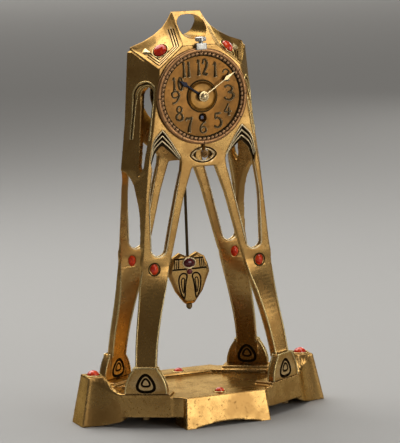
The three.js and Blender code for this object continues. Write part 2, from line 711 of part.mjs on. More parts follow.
function makeBoss() {
  const hole = circle(HOUR_PIPE + 0.5, 20, 0, CENTRE_Z);
  return prismY(circle(BOSS.radius, 40, 0, CENTRE_Z), bossFace, plateFace, [hole]);
}

const ringTop = CENTRE_Z + RING.outer;
const CLIP = { halfWidth: 5.2, top: ringTop + 4.6, tabLow: ringTop - 1.8, tab: 1.2 };
const CLIP_SCREW = { radius: 5.6, neck: 2, neckHeight: 1.6, height: 4.4, y: -HEAD_FRONT - 3.2 };

function makeClip() {
  const shelf = ringTop + FIT_GAP;
  const tabBack = ringFace - FIT_GAP;
  const front = tabBack - CLIP.tab;
  const outline = [[-HEAD_FRONT, shelf], [-HEAD_FRONT, CLIP.top], [front, CLIP.top], [front, CLIP.tabLow],
    [tabBack, CLIP.tabLow], [tabBack, shelf]];
  return prismX(outline.reverse(), -CLIP.halfWidth, CLIP.halfWidth);
}

function makeClipScrew() {
  const { radius, neck, neckHeight, height, y } = CLIP_SCREW;
  const shoulder = CLIP.top + neckHeight;
  return join(
    prismZ(circle(neck, 12, 0, y), CLIP.top, shoulder + 0.5),
    prismZ(circle(radius, 16, 0, y), shoulder, shoulder + height));
}

function makeLowerStud() {
  const stemTop = CENTRE_Z - RING.outer - FIT_GAP;
  const stem = prismX([[-HEAD_FRONT - 2.4, EYE.z + 1], [-HEAD_FRONT, EYE.z + EYE.halfHeight],
    [-HEAD_FRONT, stemTop], [-HEAD_FRONT - 2.4, stemTop]], -1.4, 1.4);
  return join(stem, stone([0, -HEAD_FRONT - 2.2, EYE.z + 1], [3.4, 3, 3.4]));
}

addPart('dial_plate', makeDialPlate(), BRONZE);
addPart('dial_ring', makeDialRing(), BRONZE);
addPart('centre_boss', makeBoss(), BRONZE);
addPart('dial_clip', makeClip(), STEEL);
addPart('clip_screw', makeClipScrew(), STEEL);
addPart('lower_stud', makeLowerStud(), BRONZE);

// Hands: drawn pointing to twelve, then turned clockwise about the centre arbor
const HAND = 0.8;
const hourHandY = bossFace - 1 - HAND;
const minuteHandY = hourHandY - 1.4 - HAND;

function turned(outline, angle, x = 0, z = CENTRE_Z) {
  const [c, s] = [Math.cos(degrees(angle)), Math.sin(degrees(angle))];
  return outline.map(([u, v]) => [x + u * c + v * s, z - u * s + v * c]);
}

function makeHand(length, half, spade, hub, pipe, angle, y) {
  const blade = bothSides([[half, 0], [half * 0.7, length * 0.66], [spade, length * 0.74],
    [spade * 0.5, length * 0.86], [0.25, length]]);
  const flat = join(
    prismY(turned(blade, angle), y, y + HAND),
    rod(hub, y, y + HAND, 0, CENTRE_Z, 24));
  return cut(flat, prismY(circle(pipe + SEAT_GAP, 20, 0, CENTRE_Z), y - 1, y + HAND + 1));
}

const NUT_PROFILE = [
  [0, 0], [4.6, 0], [4.6, -0.9], [3.9, -1.5], [2.9, -1.6], [2.3, -2.5], [1.2, -3], [0, -3.1],
];

function makeHandNut() {
  const points = NUT_PROFILE.map(([r, y]) => new THREE.Vector2(r, y)).reverse();
  return solid(new THREE.LatheGeometry(points, 24).translate(0, minuteHandY, CENTRE_Z));
}

addPart('hour_hand', makeHand(HOUR_LENGTH, 1.2, 2.6, 4.2, HOUR_PIPE, HOUR_ANGLE, hourHandY), BLUE_STEEL);
addPart('minute_hand', makeHand(MINUTE_LENGTH, 0.8, 2.2, 3.8, CANNON_PIPE, MINUTE_ANGLE, minuteHandY),
  BRIGHT_BRASS);
addPart('hand_nut', makeHandNut(), BRIGHT_BRASS);

// Toothed wheels: straight-sided teeth with backlash, one tooth at the given angle from +X
// as [share of the pitch, share of the size above the pitch circle]
const TOOTH = [[-0.25, -1.2], [-0.09, 0.65], [0.09, 0.65], [0.25, -1.2]];

function toothed(teeth, size, angle, x, z) {
  const radius = (teeth * size) / 2;
  const pitch = (2 * Math.PI) / teeth;
  const points = [];
  for (let i = 0; i < teeth; i += 1) {
    const middle = degrees(angle) + i * pitch;
    TOOTH.forEach(([share, rise]) => {
      const turn = middle + share * pitch;
      const reach = radius + rise * size;
      points.push([x + reach * Math.cos(turn), z + reach * Math.sin(turn)]);
    });
  }
  return points;
}

// The angle of a tooth on a wheel whose gap faces a neighbour's tooth at this direction
function gapAngle(direction, teeth) {
  return direction + 180 + 180 / teeth;
}

const GREAT = { teeth: 48, pinion: 8 };
const CENTRE = { teeth: 45, pinion: 6, size: 0.667 };
const THIRD = { teeth: 48, pinion: 6, size: 0.525 };
const MOTION = { cannon: 8, minute: 24, minutePinion: 6, hour: 24, distance: 9 };
const cannonSize = (2 * MOTION.distance) / (MOTION.cannon + MOTION.minute);
const hourSize = (2 * MOTION.distance) / (MOTION.minutePinion + MOTION.hour);
const greatSize = (2 * WINDING_DROP) / (GREAT.teeth + GREAT.pinion);
const centreToThird = ((CENTRE.teeth + CENTRE.pinion) * CENTRE.size) / 2;
const thirdToEscape = ((THIRD.teeth + THIRD.pinion) * THIRD.size) / 2;
const centreToEscape = ESCAPE_Z - CENTRE_Z;
const thirdRise = (centreToThird ** 2 - thirdToEscape ** 2 + centreToEscape ** 2) / (2 * centreToEscape);
const third = { x: Math.sqrt(centreToThird ** 2 - thirdRise ** 2), z: CENTRE_Z + thirdRise };
const motionX = -MOTION.distance;
const plateFront = FRONT_PLATE_Y;
const plateRear = BACK_PLATE_Y + PLATE_THICKNESS;
const pivotEnds = [plateFront - 0.5, plateRear + 0.6];

function directionTo(fromX, fromZ, toX, toZ) {
  return THREE.MathUtils.radToDeg(Math.atan2(toZ - fromZ, toX - fromX));
}

function wheel(teeth, size, angle, x, z, y0, y1) {
  return prismY(toothed(teeth, size, angle, x, z), y0, y1);
}

const PILLARS = [
  ['top_left', -15.5, PLATE_Z + 26.8], ['top_right', 15.5, PLATE_Z + 26.8],
  ['low_left', -22.6, PLATE_Z - 22.6], ['low_right', 22.6, PLATE_Z - 22.6],
];
const POSTS = [['left', -27], ['right', 27]];
const WINDING_RADIUS = 2;
const CLICK = { x: 12.5, z: windingZ + 4.9, pin: 1 };
const STUD = 0.8;

function plateHoles() {
  return [
    boreOutline(ARBOR, 0, CENTRE_Z), boreOutline(WINDING_RADIUS, 0, windingZ),
    boreOutline(ARBOR, third.x, third.z), boreOutline(ARBOR, 0, ESCAPE_Z), boreOutline(ARBOR, 0, ANCHOR_Z),
  ];
}

function makePlate(y) {
  return prismY(circle(PLATE_RADIUS, 36, 0, PLATE_Z), y, y + PLATE_THICKNESS, plateHoles());
}

const motionPlanes = { cannon: plateFront - 3.4, minute: plateFront - 3.2, hour: plateFront - 6.6 };
const studFront = motionPlanes.hour - 0.8;
const frontPlate = join(
  makePlate(plateFront),
  rod(STUD, studFront, plateFront + 0.5, motionX, CENTRE_Z, 12),
  rod(CLICK.pin, plateFront - 2.4, plateFront + 0.5, CLICK.x, CLICK.z, 12));
addPart('front_plate', frontPlate, BRIGHT_BRASS);
addPart('back_plate', makePlate(BACK_PLATE_Y), BRIGHT_BRASS);
PILLARS.forEach(([place, x, z]) => addPart(
  `pillar_${place}`, rod(PILLAR_RADIUS, plateFront + PLATE_THICKNESS, BACK_PLATE_Y, x, z), BRIGHT_BRASS));
POSTS.forEach(([place, x]) => addPart(
  `dial_foot_${place}`, rod(PILLAR_RADIUS, -HEAD_FRONT, plateFront, x, CENTRE_Z), BRIGHT_BRASS));

// Going train: barrel, centre, third and escape wheels between the plates
const greatPlane = [plateFront + PLATE_THICKNESS + 0.8, plateFront + PLATE_THICKNESS + 2.3];
const centrePlane = [BACK_PLATE_Y - 4.4, BACK_PLATE_Y - 2.8];
const thirdPlane = [-4, -2.5];
const escapePlane = [-8, -7];

function makeBarrel() {
  const body = join(
    wheel(GREAT.teeth, greatSize, 90, 0, windingZ, ...greatPlane),
    rod(14, greatPlane[1] - 0.2, BACK_PLATE_Y - 6.8, 0, windingZ, 32),
    rod(3.4, greatPlane[0], BACK_PLATE_Y - 0.4, 0, windingZ));
  const bore = prismY(boreOutline(WINDING_RADIUS, 0, windingZ), plateFront, BACK_PLATE_Y);
  return cut(body, bore);
}

const SQUARE = 1.4;
const windingFront = plateFace + 1.5;
const windingShoulder = plateFront - 5;

function makeWindingArbor() {
  const square = [[-SQUARE, windingZ - SQUARE], [SQUARE, windingZ - SQUARE], [SQUARE, windingZ + SQUARE],
    [-SQUARE, windingZ + SQUARE]];
  return join(
    rod(WINDING_RADIUS, windingShoulder, pivotEnds[1], 0, windingZ),
    prismY(square, windingFront, windingShoulder + 0.5));
}

const RATCHET = { teeth: 20, radius: 7, depth: 1.2 };
const ratchetPlane = [plateFront - 2, plateFront - 0.4];

function makeRatchet() {
  const points = [];
  const low = RATCHET.radius - RATCHET.depth;
  for (let i = 0; i < RATCHET.teeth; i += 1) {
    const turn = (2 * Math.PI * i) / RATCHET.teeth;
    const root = turn + 0.08;
    points.push([RATCHET.radius * Math.cos(turn), windingZ + RATCHET.radius * Math.sin(turn)]);
    points.push([low * Math.cos(root), windingZ + low * Math.sin(root)]);
  }
  return prismY(points, ...ratchetPlane, [circle(WINDING_RADIUS + SEAT_GAP, 16, 0, windingZ)]);
}

function makeClick() {
  const tip = RATCHET.radius + 0.4;
  const heel = CLICK.x + 2.2;
  const pawl = [[tip, CLICK.z - 2.7], [CLICK.x, CLICK.z - 2.1], [heel, CLICK.z - 1.1],
    [heel, CLICK.z + 1.3], [CLICK.x, CLICK.z + 2.3], [tip, CLICK.z - 1.6]];
  return prismY(pawl, ...ratchetPlane, [boreOutline(CLICK.pin, CLICK.x, CLICK.z)]);
}

function makeCentreWheel() {
  const toThird = directionTo(0, CENTRE_Z, third.x, third.z);
  return join(
    rod(ARBOR, minuteHandY + 1, pivotEnds[1], 0, CENTRE_Z),
    wheel(GREAT.pinion, greatSize, gapAngle(90, GREAT.pinion), 0, CENTRE_Z,
      greatPlane[0] - 0.4, greatPlane[1] + 0.6),
    wheel(CENTRE.teeth, CENTRE.size, toThird, 0, CENTRE_Z, ...centrePlane));
}

function makeThirdWheel() {
  const fromCentre = directionTo(0, CENTRE_Z, third.x, third.z);
  const toEscape = directionTo(third.x, third.z, 0, ESCAPE_Z);
  return join(
    rod(ARBOR, ...pivotEnds, third.x, third.z),
    wheel(CENTRE.pinion, CENTRE.size, gapAngle(fromCentre, CENTRE.pinion), third.x, third.z,
      centrePlane[0] - 0.6, centrePlane[1] + 0.6),
    wheel(THIRD.teeth, THIRD.size, toEscape, third.x, third.z, ...thirdPlane));
}

function makeEscapeWheel() {
  const fromThird = directionTo(third.x, third.z, 0, ESCAPE_Z);
  const teeth = 30;
  const points = [];
  for (let i = 0; i < teeth; i += 1) {
    const tip = (2 * Math.PI * i) / teeth;
    const root = tip + 0.05;
    const low = ESCAPE_RADIUS - 1.5;
    points.push([ESCAPE_RADIUS * Math.cos(tip), ESCAPE_Z + ESCAPE_RADIUS * Math.sin(tip)]);
    points.push([low * Math.cos(root), ESCAPE_Z + low * Math.sin(root)]);
  }
  return join(
    rod(ARBOR, ...pivotEnds, 0, ESCAPE_Z),
    wheel(THIRD.pinion, THIRD.size, gapAngle(fromThird, THIRD.pinion), 0, ESCAPE_Z,
      thirdPlane[0] - 0.6, thirdPlane[1] + 0.6),
    prismY(points, ...escapePlane));
}

addPart('barrel', makeBarrel(), BRIGHT_BRASS);
addPart('winding_arbor', makeWindingArbor(), STEEL);
addPart('ratchet_wheel', makeRatchet(), STEEL);
addPart('click', makeClick(), STEEL);
addPart('centre_wheel', makeCentreWheel(), BRIGHT_BRASS);
addPart('third_wheel', makeThirdWheel(), BRIGHT_BRASS);
addPart('escape_wheel', makeEscapeWheel(), BRIGHT_BRASS);

// Motion work in front of the plate: cannon pinion, minute wheel and hour wheel, twelve to one
function pipe(body, radius, y0, y1) {
  return cut(body, prismY(boreOutline(radius, 0, CENTRE_Z), y0 - 1, y1 + 1));
}

function makeCannonPinion() {
  const rear = plateFront - 0.6;
  const body = join(
    rod(CANNON_PIPE, minuteHandY, rear, 0, CENTRE_Z),
    wheel(MOTION.cannon, cannonSize, 180, 0, CENTRE_Z, motionPlanes.cannon, rear));
  return pipe(body, ARBOR, minuteHandY, rear);
}

function makeMinuteWheel() {
  const rear = plateFront - 1.2;
  const body = join(
    wheel(MOTION.minute, cannonSize, gapAngle(180, MOTION.minute), motionX, CENTRE_Z,
      motionPlanes.minute, rear),
    wheel(MOTION.minutePinion, hourSize, gapAngle(180, MOTION.minutePinion), motionX, CENTRE_Z,
      motionPlanes.hour - 0.4, motionPlanes.minute + 0.2));
  return cut(body, prismY(boreOutline(STUD, motionX, CENTRE_Z), motionPlanes.hour - 1, rear + 1));
}

function makeHourWheel() {
  const rear = motionPlanes.hour + 1.6;
  const body = join(
    rod(HOUR_PIPE, hourHandY, rear, 0, CENTRE_Z),
    wheel(MOTION.hour, hourSize, 180, 0, CENTRE_Z, motionPlanes.hour, rear));
  return pipe(body, CANNON_PIPE, hourHandY, rear);
}

addPart('cannon_pinion', makeCannonPinion(), STEEL);
addPart('minute_wheel', makeMinuteWheel(), BRIGHT_BRASS);
addPart('hour_wheel', makeHourWheel(), BRIGHT_BRASS);

// Escapement and pendulum: the anchor and the pendulum swing on one line
const CRUTCH_Y = [plateRear + 1.6, plateRear + 2.8];
const FORK = { z: ANCHOR_Z - 34.6, height: 3.5, gap: 1.8, wall: 1.2 };
const COCK = { low: ANCHOR_Z + 3.2, high: ANCHOR_Z + 8.4, halfWidth: 6, rear: PENDULUM_Y + 4 };
const SPRING = { half: 0.2, halfDepth: 3, low: ANCHOR_Z - 6.1, high: ANCHOR_Z + 5.4 };
const ANCHOR_ARM = [[3.2, 1.4], [10, -4.8], [9.2, -6.3], [7.9, -6.2], [2.6, -1.4]];

function makeAnchor() {
  const arm = bothSides(ANCHOR_ARM).map(([x, rise]) => [x, ANCHOR_Z + rise]);
  return join(
    rod(ARBOR, pivotEnds[0], CRUTCH_Y[1], 0, ANCHOR_Z),
    prismY(arm.reverse(), escapePlane[0] - 0.4, escapePlane[1] + 0.4));
}

function makeCrutch() {
  const arm = prismY([[-1.4, FORK.z], [1.4, FORK.z], [1.4, ANCHOR_Z], [-1.4, ANCHOR_Z]], ...CRUTCH_Y);
  const outer = FORK.gap + FORK.wall;
  const forkTop = FORK.z + FORK.height;
  const yoke = prismY([[-outer, FORK.z], [outer, FORK.z], [outer, forkTop], [-outer, forkTop]],
    CRUTCH_Y[0], PENDULUM_Y + 2.6);
  const slot = prismY([[-FORK.gap, FORK.z - 1], [FORK.gap, FORK.z - 1], [FORK.gap, forkTop + 1],
    [-FORK.gap, forkTop + 1]], CRUTCH_Y[1], PENDULUM_Y + 4);
  const hub = rod(2.6, ...CRUTCH_Y, 0, ANCHOR_Z);
  const bore = prismY(circle(ARBOR + SEAT_GAP, 16, 0, ANCHOR_Z), CRUTCH_Y[0] - 1, CRUTCH_Y[1] + 1);
  return cut(join(arm, cut(yoke, slot), hub), bore);
}

function springBox(grow) {
  const half = SPRING.half + grow;
  const depth = SPRING.halfDepth + grow;
  const top = SPRING.high + grow;
  const outline = [[-half, SPRING.low], [half, SPRING.low], [half, top], [-half, top]];
  return prismY(outline, PENDULUM_Y - depth, PENDULUM_Y + depth);
}

function makeCock() {
  const body = prismX([[plateRear, COCK.low], [COCK.rear, COCK.low], [COCK.rear, COCK.high - 1.5],
    [COCK.rear - 1.5, COCK.high], [plateRear, COCK.high]], -COCK.halfWidth, COCK.halfWidth);
  return cut(body, springBox(SEAT_GAP));
}

const ROD_BLOCK = { low: ANCHOR_Z - 12.6, high: ANCHOR_Z - 2.6, half: 2.4, halfDepth: 3.4, slot: 0.8 };

function makePendulumRod() {
  const block = prismY([[-ROD_BLOCK.half, ROD_BLOCK.low], [ROD_BLOCK.half, ROD_BLOCK.low],
    [ROD_BLOCK.half, ROD_BLOCK.high], [-ROD_BLOCK.half, ROD_BLOCK.high]],
  PENDULUM_Y - ROD_BLOCK.halfDepth, PENDULUM_Y + ROD_BLOCK.halfDepth);
  const slot = prismY([[-ROD_BLOCK.slot, SPRING.low - 1], [ROD_BLOCK.slot, SPRING.low - 1],
    [ROD_BLOCK.slot, ROD_BLOCK.high + 1], [-ROD_BLOCK.slot, ROD_BLOCK.high + 1]],
  PENDULUM_Y - ROD_BLOCK.halfDepth - 1, PENDULUM_Y + ROD_BLOCK.halfDepth + 1);
  const stem = prismZ(circle(ROD_RADIUS, 12, 0, PENDULUM_Y), nutBottom - ROD_TAIL, ROD_BLOCK.low + 1);
  return join(cut(block, slot), stem);
}

const BOB_STONE = [5.8, 2.2, 4.3];
const BOB_STONE_DROP = 10;
const bobStoneSpot = [0, PENDULUM_Y - BOB.thickness / 2, BOB.top - BOB_STONE_DROP];
// Half the bob's outline, as [share of the half width, share of the height below the top]
const BOB_OUTLINE = [
  [0.1, 0.07], [0.42, 0], [0.77, 0.09], [0.93, 0.24], [1, 0.39], [0.64, 0.76], [0.25, 0.98], [0.19, 1],
];

function makeBob() {
  const middle = (BOB.top + bobBottom) / 2;
  const right = BOB_OUTLINE.map(([wide, drop]) => [wide * BOB.halfWidth, BOB.top - drop * BOB.height]);
  const outline = bothSides(right);
  const half = BOB.thickness / 2;
  const layers = [[-half, 0.88], [-half * 0.5, 1], [half * 0.5, 1], [half, 0.88]];
  const rings = layers.map(([y, scale]) => outline.map(
    ([x, z]) => [x * scale, PENDULUM_Y + y, middle + (z - middle) * scale]));
  const bore = prismZ(boreOutline(ROD_RADIUS, 0, PENDULUM_Y), bobBottom - 5, BOB.top + 5);
  return cut(loft(rings, ([x, , z]) => [x, z]), bore, stone(bobStoneSpot, grown(BOB_STONE)));
}

function makeNut() {
  const body = join(
    prismZ(circle(NUT_RADIUS, 14, 0, PENDULUM_Y), nutBottom + NUT_HEIGHT / 4, bobBottom - FIT_GAP),
    prismZ(circle(NUT_RADIUS * 0.8, 14, 0, PENDULUM_Y), nutBottom, nutBottom + NUT_HEIGHT / 3));
  return cut(body, prismZ(boreOutline(ROD_RADIUS, 0, PENDULUM_Y), nutBottom - 1, bobBottom));
}

addPart('anchor', makeAnchor(), STEEL);
addPart('crutch', makeCrutch(), STEEL);
addPart('suspension_cock', makeCock(), BRIGHT_BRASS);
addPart('suspension_spring', springBox(0), STEEL);
addPart('pendulum_rod', makePendulumRod(), BRONZE);
addPart('bob', makeBob(), BRASS);
addPart('bob_jewel', stone(bobStoneSpot, BOB_STONE), DARK_STONE);
addPart('rating_nut', makeNut(), STEEL);

export default clock;
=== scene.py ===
# Pendulum table clock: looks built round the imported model. Metres, +Z up, dial towards -Y.
import json
import math

import bmesh
import bpy
import numpy as np
from mathutils import Matrix, Quaternion, Vector
from mathutils.bvhtree import BVHTree


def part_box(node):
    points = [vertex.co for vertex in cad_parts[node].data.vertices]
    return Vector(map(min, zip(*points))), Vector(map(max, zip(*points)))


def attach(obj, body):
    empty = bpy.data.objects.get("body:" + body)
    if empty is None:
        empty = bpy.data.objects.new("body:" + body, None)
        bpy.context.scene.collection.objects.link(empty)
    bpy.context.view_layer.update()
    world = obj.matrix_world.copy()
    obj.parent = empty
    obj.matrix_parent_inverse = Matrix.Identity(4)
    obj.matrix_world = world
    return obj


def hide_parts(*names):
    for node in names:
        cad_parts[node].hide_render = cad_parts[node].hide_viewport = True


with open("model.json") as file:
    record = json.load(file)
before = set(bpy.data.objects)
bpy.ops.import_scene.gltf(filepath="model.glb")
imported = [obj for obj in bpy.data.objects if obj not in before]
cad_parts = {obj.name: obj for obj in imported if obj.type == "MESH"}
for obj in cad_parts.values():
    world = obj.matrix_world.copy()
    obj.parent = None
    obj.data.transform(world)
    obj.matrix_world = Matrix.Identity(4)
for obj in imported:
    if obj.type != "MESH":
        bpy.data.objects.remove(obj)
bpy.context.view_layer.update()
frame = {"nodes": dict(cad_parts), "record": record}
nodes = frame["nodes"]
mm = 0.001
weld = 1e-6  # points nearer than this become one
corners = [(sx, sy) for sx in (-1, 1) for sy in (-1, 1)]
print("frame loaded:", len(nodes), "nodes")


# small helpers

def newObject(name, mesh):
    obj = bpy.data.objects.new(name, mesh)
    bpy.context.collection.objects.link(obj)
    return obj


def meshFrom(name, points, faces):
    mesh = bpy.data.meshes.new(name)
    mesh.from_pydata([tuple(p) for p in points], [], faces)
    mesh.update()
    return mesh


def tidyMesh(mesh):  # doubles merged first, then the faces turned outwards
    bm = bmesh.new()
    bm.from_mesh(mesh)
    bmesh.ops.remove_doubles(bm, verts=bm.verts, dist=weld)
    bmesh.ops.recalc_face_normals(bm, faces=bm.faces)
    bm.to_mesh(mesh)
    bm.free()


def smoothFaces(mesh, angle):
    mesh.polygons.foreach_set("use_smooth", [True] * len(mesh.polygons))
    mesh.set_sharp_from_angle(angle=math.radians(angle))


def frozen(obj, name):  # the evaluated shape as a plain mesh, modifiers gone
    graph = bpy.context.evaluated_depsgraph_get()
    mesh = bpy.data.meshes.new_from_object(obj.evaluated_get(graph))
    old = obj.data
    obj.modifiers.clear()
    obj.data = mesh
    mesh.name = name
    if old.users == 0:
        bpy.data.meshes.remove(old)
    return obj


def addModifier(obj, kind, **values):
    made = obj.modifiers.new(kind.lower(), kind)
    for key, value in values.items():
        setattr(made, key, value)
    return made


def setInput(modifier, tree, label, value):  # by the socket's identifier
    socket = next(s for s in tree.interface.items_tree if s.name == label and s.in_out == "INPUT")
    modifier[socket.identifier] = value


def fullTurn(count):  # the angles of that many even steps
    return [2 * math.pi * i / count for i in range(count)]


def giveFinishes(obj, finishes):
    obj.data.materials.clear()
    for finish in finishes:
        obj.data.materials.append(finish)


def settle(piece, body, replaced=()):  # keeps the finishes the piece already has
    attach(piece, body)
    if replaced:
        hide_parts(*replaced)


def place(piece, body, material, replaced=()):
    giveFinishes(piece, [material])
    settle(piece, body, replaced)


# camera: the photograph's view, image taken as 400 x 443

view = dict(azimuth=-21.2, elevation=7.98, roll=-2.09, target=(0, 0, 0.190), distance=2.4513,
            lens=208.8, shiftX=0.0164, shiftY=-0.0142, near=0.05)


def addCamera(v):
    az, el = math.radians(v["azimuth"]), math.radians(v["elevation"])
    away = Vector((math.sin(az) * math.cos(el), -math.cos(az) * math.cos(el), math.sin(el)))
    data = bpy.data.cameras.new("photoView")
    data.lens = v["lens"]
    data.shift_x = v["shiftX"]
    data.shift_y = v["shiftY"]
    data.clip_start = v["near"]
    cam = bpy.data.objects.new("photoView", data)
    bpy.context.collection.objects.link(cam)
    turn = away.to_track_quat("Z", "Y") @ Quaternion((0, 0, 1), math.radians(v["roll"]))
    spot = Vector(v["target"]) + away * v["distance"]
    cam.matrix_world = Matrix.Translation(spot) @ turn.to_matrix().to_4x4()
    bpy.context.scene.camera = cam


addCamera(view)
print("camera set")


# trees: shader groups and materials here, geometry further down

def newTree(name, treeKind, inputs, outputs):  # an input is (label, kind) or (label, kind, value)
    tree = bpy.data.node_groups.new(name, treeKind)
    for label, kind, *value in inputs:
        socket = tree.interface.new_socket(label, in_out="INPUT", socket_type=kind)
        if value:
            socket.default_value = value[0]
    for label, kind in outputs:
        tree.interface.new_socket(label, in_out="OUTPUT", socket_type=kind)
    return tree, tree.nodes.new("NodeGroupInput"), tree.nodes.new("NodeGroupOutput")


def node(tree, kind, **values):
    made = tree.nodes.new(kind)
    for key, value in values.items():
        if key in made.inputs:
            made.inputs[key].default_value = value
        else:
            setattr(made, key, value)
    return made


def ramp(tree, source, stops):
    made = tree.nodes.new("ShaderNodeValToRGB")
    ends = made.color_ramp.elements
    while len(ends) < len(stops):
        ends.new(0.5)
    for end, (at, level) in zip(ends, stops):
        end.position = at
        end.color = (level, level, level, 1) if isinstance(level, (int, float)) else (*level, 1)
    tree.links.new(source, made.inputs["Fac"])
    return made.outputs["Color"]


def blendColour(tree, fac, a, b):
    made = node(tree, "ShaderNodeMix", data_type="RGBA")
    for socket, source in ((0, fac), (6, a), (7, b)):
        tree.links.new(source, made.inputs[socket])
    return made.outputs[2]


def maths(tree, what, a, b, clamp=False):
    made = tree.nodes.new("ShaderNodeMath")
    made.operation = what
    made.use_clamp = clamp
    for socket, value in ((made.inputs[0], a), (made.inputs[1], b)):
        if isinstance(value, bpy.types.NodeSocket):
            tree.links.new(value, socket)
        else:
            socket.default_value = value
    return made.outputs[0]


# the two Pointiness ramps set a painted highlight on convex edges and painted shade in concave spots
tone = dict(cloud=(0.40, 0.62), speck=(0.56, 0.68), edge=(0.51, 0.60), hollow=(0.40, 0.488), fineness=9.0,
            dullCloud=0.08, dullSpeck=0.22, dullHollow=0.25, grain=0.4, swell=0.25, bump=0.05,
            bumpDepth=1.0 * mm)


def metalToneAndPaintedLightGroup():  # broad tone and specks, a painted highlight on convex edges and painted shade in concave spots
    colour, number = "NodeSocketColor", "NodeSocketFloat"
    # the Hollow colour is painted shade and the Edge colour a painted highlight
    tree, start, end = newTree("metalToneAndPaintedLight", "ShaderNodeTree", [
        ("Body", colour, (0.4, 0.28, 0.1, 1)), ("Hollow", colour, (0.05, 0.03, 0.01, 1)),
        ("Edge", colour, (0.8, 0.7, 0.4, 1)), ("Tarnish", colour, (0.15, 0.1, 0.04, 1)),
        ("Size", number, 40.0), ("Specks", number, 0.5), ("Edge amount", number, 0.6),
        ("Hollow amount", number, 0.8), ("Polish", number, 0.3), ("Mottle", number, 0.45)],
        [("Color", colour), ("Roughness", number), ("Height", number)])
    link, given = tree.links.new, start.outputs
    where = tree.nodes.new("ShaderNodeTexCoord").outputs["Object"]
    broad = node(tree, "ShaderNodeTexNoise", Detail=4.0, Roughness=0.6)
    fine = node(tree, "ShaderNodeTexNoise", Detail=6.0, Roughness=0.7)
    link(where, broad.inputs["Vector"])
    link(where, fine.inputs["Vector"])
    link(given["Size"], broad.inputs["Scale"])
    link(maths(tree, "MULTIPLY", given["Size"], tone["fineness"]), fine.inputs["Scale"])
    bend = tree.nodes.new("ShaderNodeNewGeometry").outputs["Pointiness"]
    cloud = ramp(tree, broad.outputs["Fac"], [(tone["cloud"][0], 0.0), (tone["cloud"][1], 1.0)])
    speck = ramp(tree, fine.outputs["Fac"], [(tone["speck"][0], 0.0), (tone["speck"][1], 1.0)])
    # from Pointiness: a painted highlight where the surface bulges, painted shade where it dips
    edge = ramp(tree, bend, [(tone["edge"][0], 0.0), (tone["edge"][1], 1.0)])
    hollow = ramp(tree, bend, [(tone["hollow"][0], 1.0), (tone["hollow"][1], 0.0)])
    blended = given["Body"]
    for mask, amount, laid in ((cloud, "Mottle", "Tarnish"), (speck, "Specks", "Tarnish"),
                               (edge, "Edge amount", "Edge"), (hollow, "Hollow amount", "Hollow")):
        blended = blendColour(tree, maths(tree, "MULTIPLY", mask, given[amount]), blended, given[laid])
    link(blended, end.inputs["Color"])
    dull = given["Polish"]
    for mask, share in ((cloud, tone["dullCloud"]), (speck, tone["dullSpeck"]), (hollow, tone["dullHollow"])):
        dull = maths(tree, "ADD", dull, maths(tree, "MULTIPLY", mask, share), clamp=True)
    link(dull, end.inputs["Roughness"])
    grain = maths(tree, "MULTIPLY", fine.outputs["Fac"], tone["grain"])
    swell = maths(tree, "MULTIPLY", broad.outputs["Fac"], tone["swell"])
    link(maths(tree, "ADD", grain, swell), end.inputs["Height"])
    return tree


metalToneAndPaintedLight = metalToneAndPaintedLightGroup()


def newMaterial(name):
    mat = bpy.data.materials.new(name)
    mat.use_nodes = True
    return mat, mat.node_tree, mat.node_tree.nodes["Principled BSDF"]


# the colour given for concave spots is painted shade, the one for convex edges a painted highlight and also
# the specular tint
def metal(name, body, hollow, edge, tarnish, polish, size=40, specks=0.5, highlightAmount=0.6, hollowAmount=0.8,
          mottle=0.45):
    mat, tree, shader = newMaterial(name)
    shader.inputs["Metallic"].default_value = 1.0
    shader.inputs["Specular Tint"].default_value = (*edge, 1)  # keeps its colour at a low angle
    group = tree.nodes.new("ShaderNodeGroup")
    group.node_tree = metalToneAndPaintedLight
    values = {"Body": (*body, 1), "Hollow": (*hollow, 1), "Edge": (*edge, 1), "Tarnish": (*tarnish, 1),
              "Size": size, "Specks": specks, "Edge amount": highlightAmount, "Hollow amount": hollowAmount,
              "Polish": polish, "Mottle": mottle}
    for label, value in values.items():
        group.inputs[label].default_value = value
    relief = node(tree, "ShaderNodeBump", Strength=tone["bump"], Distance=tone["bumpDepth"])
    tree.links.new(group.outputs["Color"], shader.inputs["Base Color"])
    tree.links.new(group.outputs["Roughness"], shader.inputs["Roughness"])
    tree.links.new(group.outputs["Height"], relief.inputs["Height"])
    tree.links.new(relief.outputs["Normal"], shader.inputs["Normal"])
    return mat


# colours in order: body, painted shade for concave spots, painted highlight for convex edges, tarnish
castBrass = metal("castBrass", (0.48, 0.293, 0.098), (0.05, 0.026, 0.008), (0.95, 0.80, 0.52),
                  (0.24, 0.118, 0.032), 0.23, size=40, specks=0.55, highlightAmount=0.32, hollowAmount=0.6,
                  mottle=0.55)
brightBrass = metal("brightBrass", (0.62, 0.45, 0.17), (0.08, 0.05, 0.015), (0.85, 0.72, 0.42),
                    (0.38, 0.25, 0.08), 0.22, size=120, specks=0.25)
bronze = metal("bronze", (0.30, 0.155, 0.055), (0.02, 0.010, 0.004), (0.60, 0.40, 0.18),
               (0.15, 0.075, 0.025), 0.38, size=90, specks=0.4)
steel = metal("steel", (0.42, 0.41, 0.38), (0.04, 0.035, 0.03), (0.75, 0.73, 0.70),
              (0.22, 0.20, 0.17), 0.28, size=150, specks=0.35)
blueSteel = metal("blueSteel", (0.019, 0.020, 0.029), (0.004, 0.004, 0.006), (0.10, 0.105, 0.14),
                  (0.02, 0.02, 0.024), 0.28, size=150, specks=0.2)
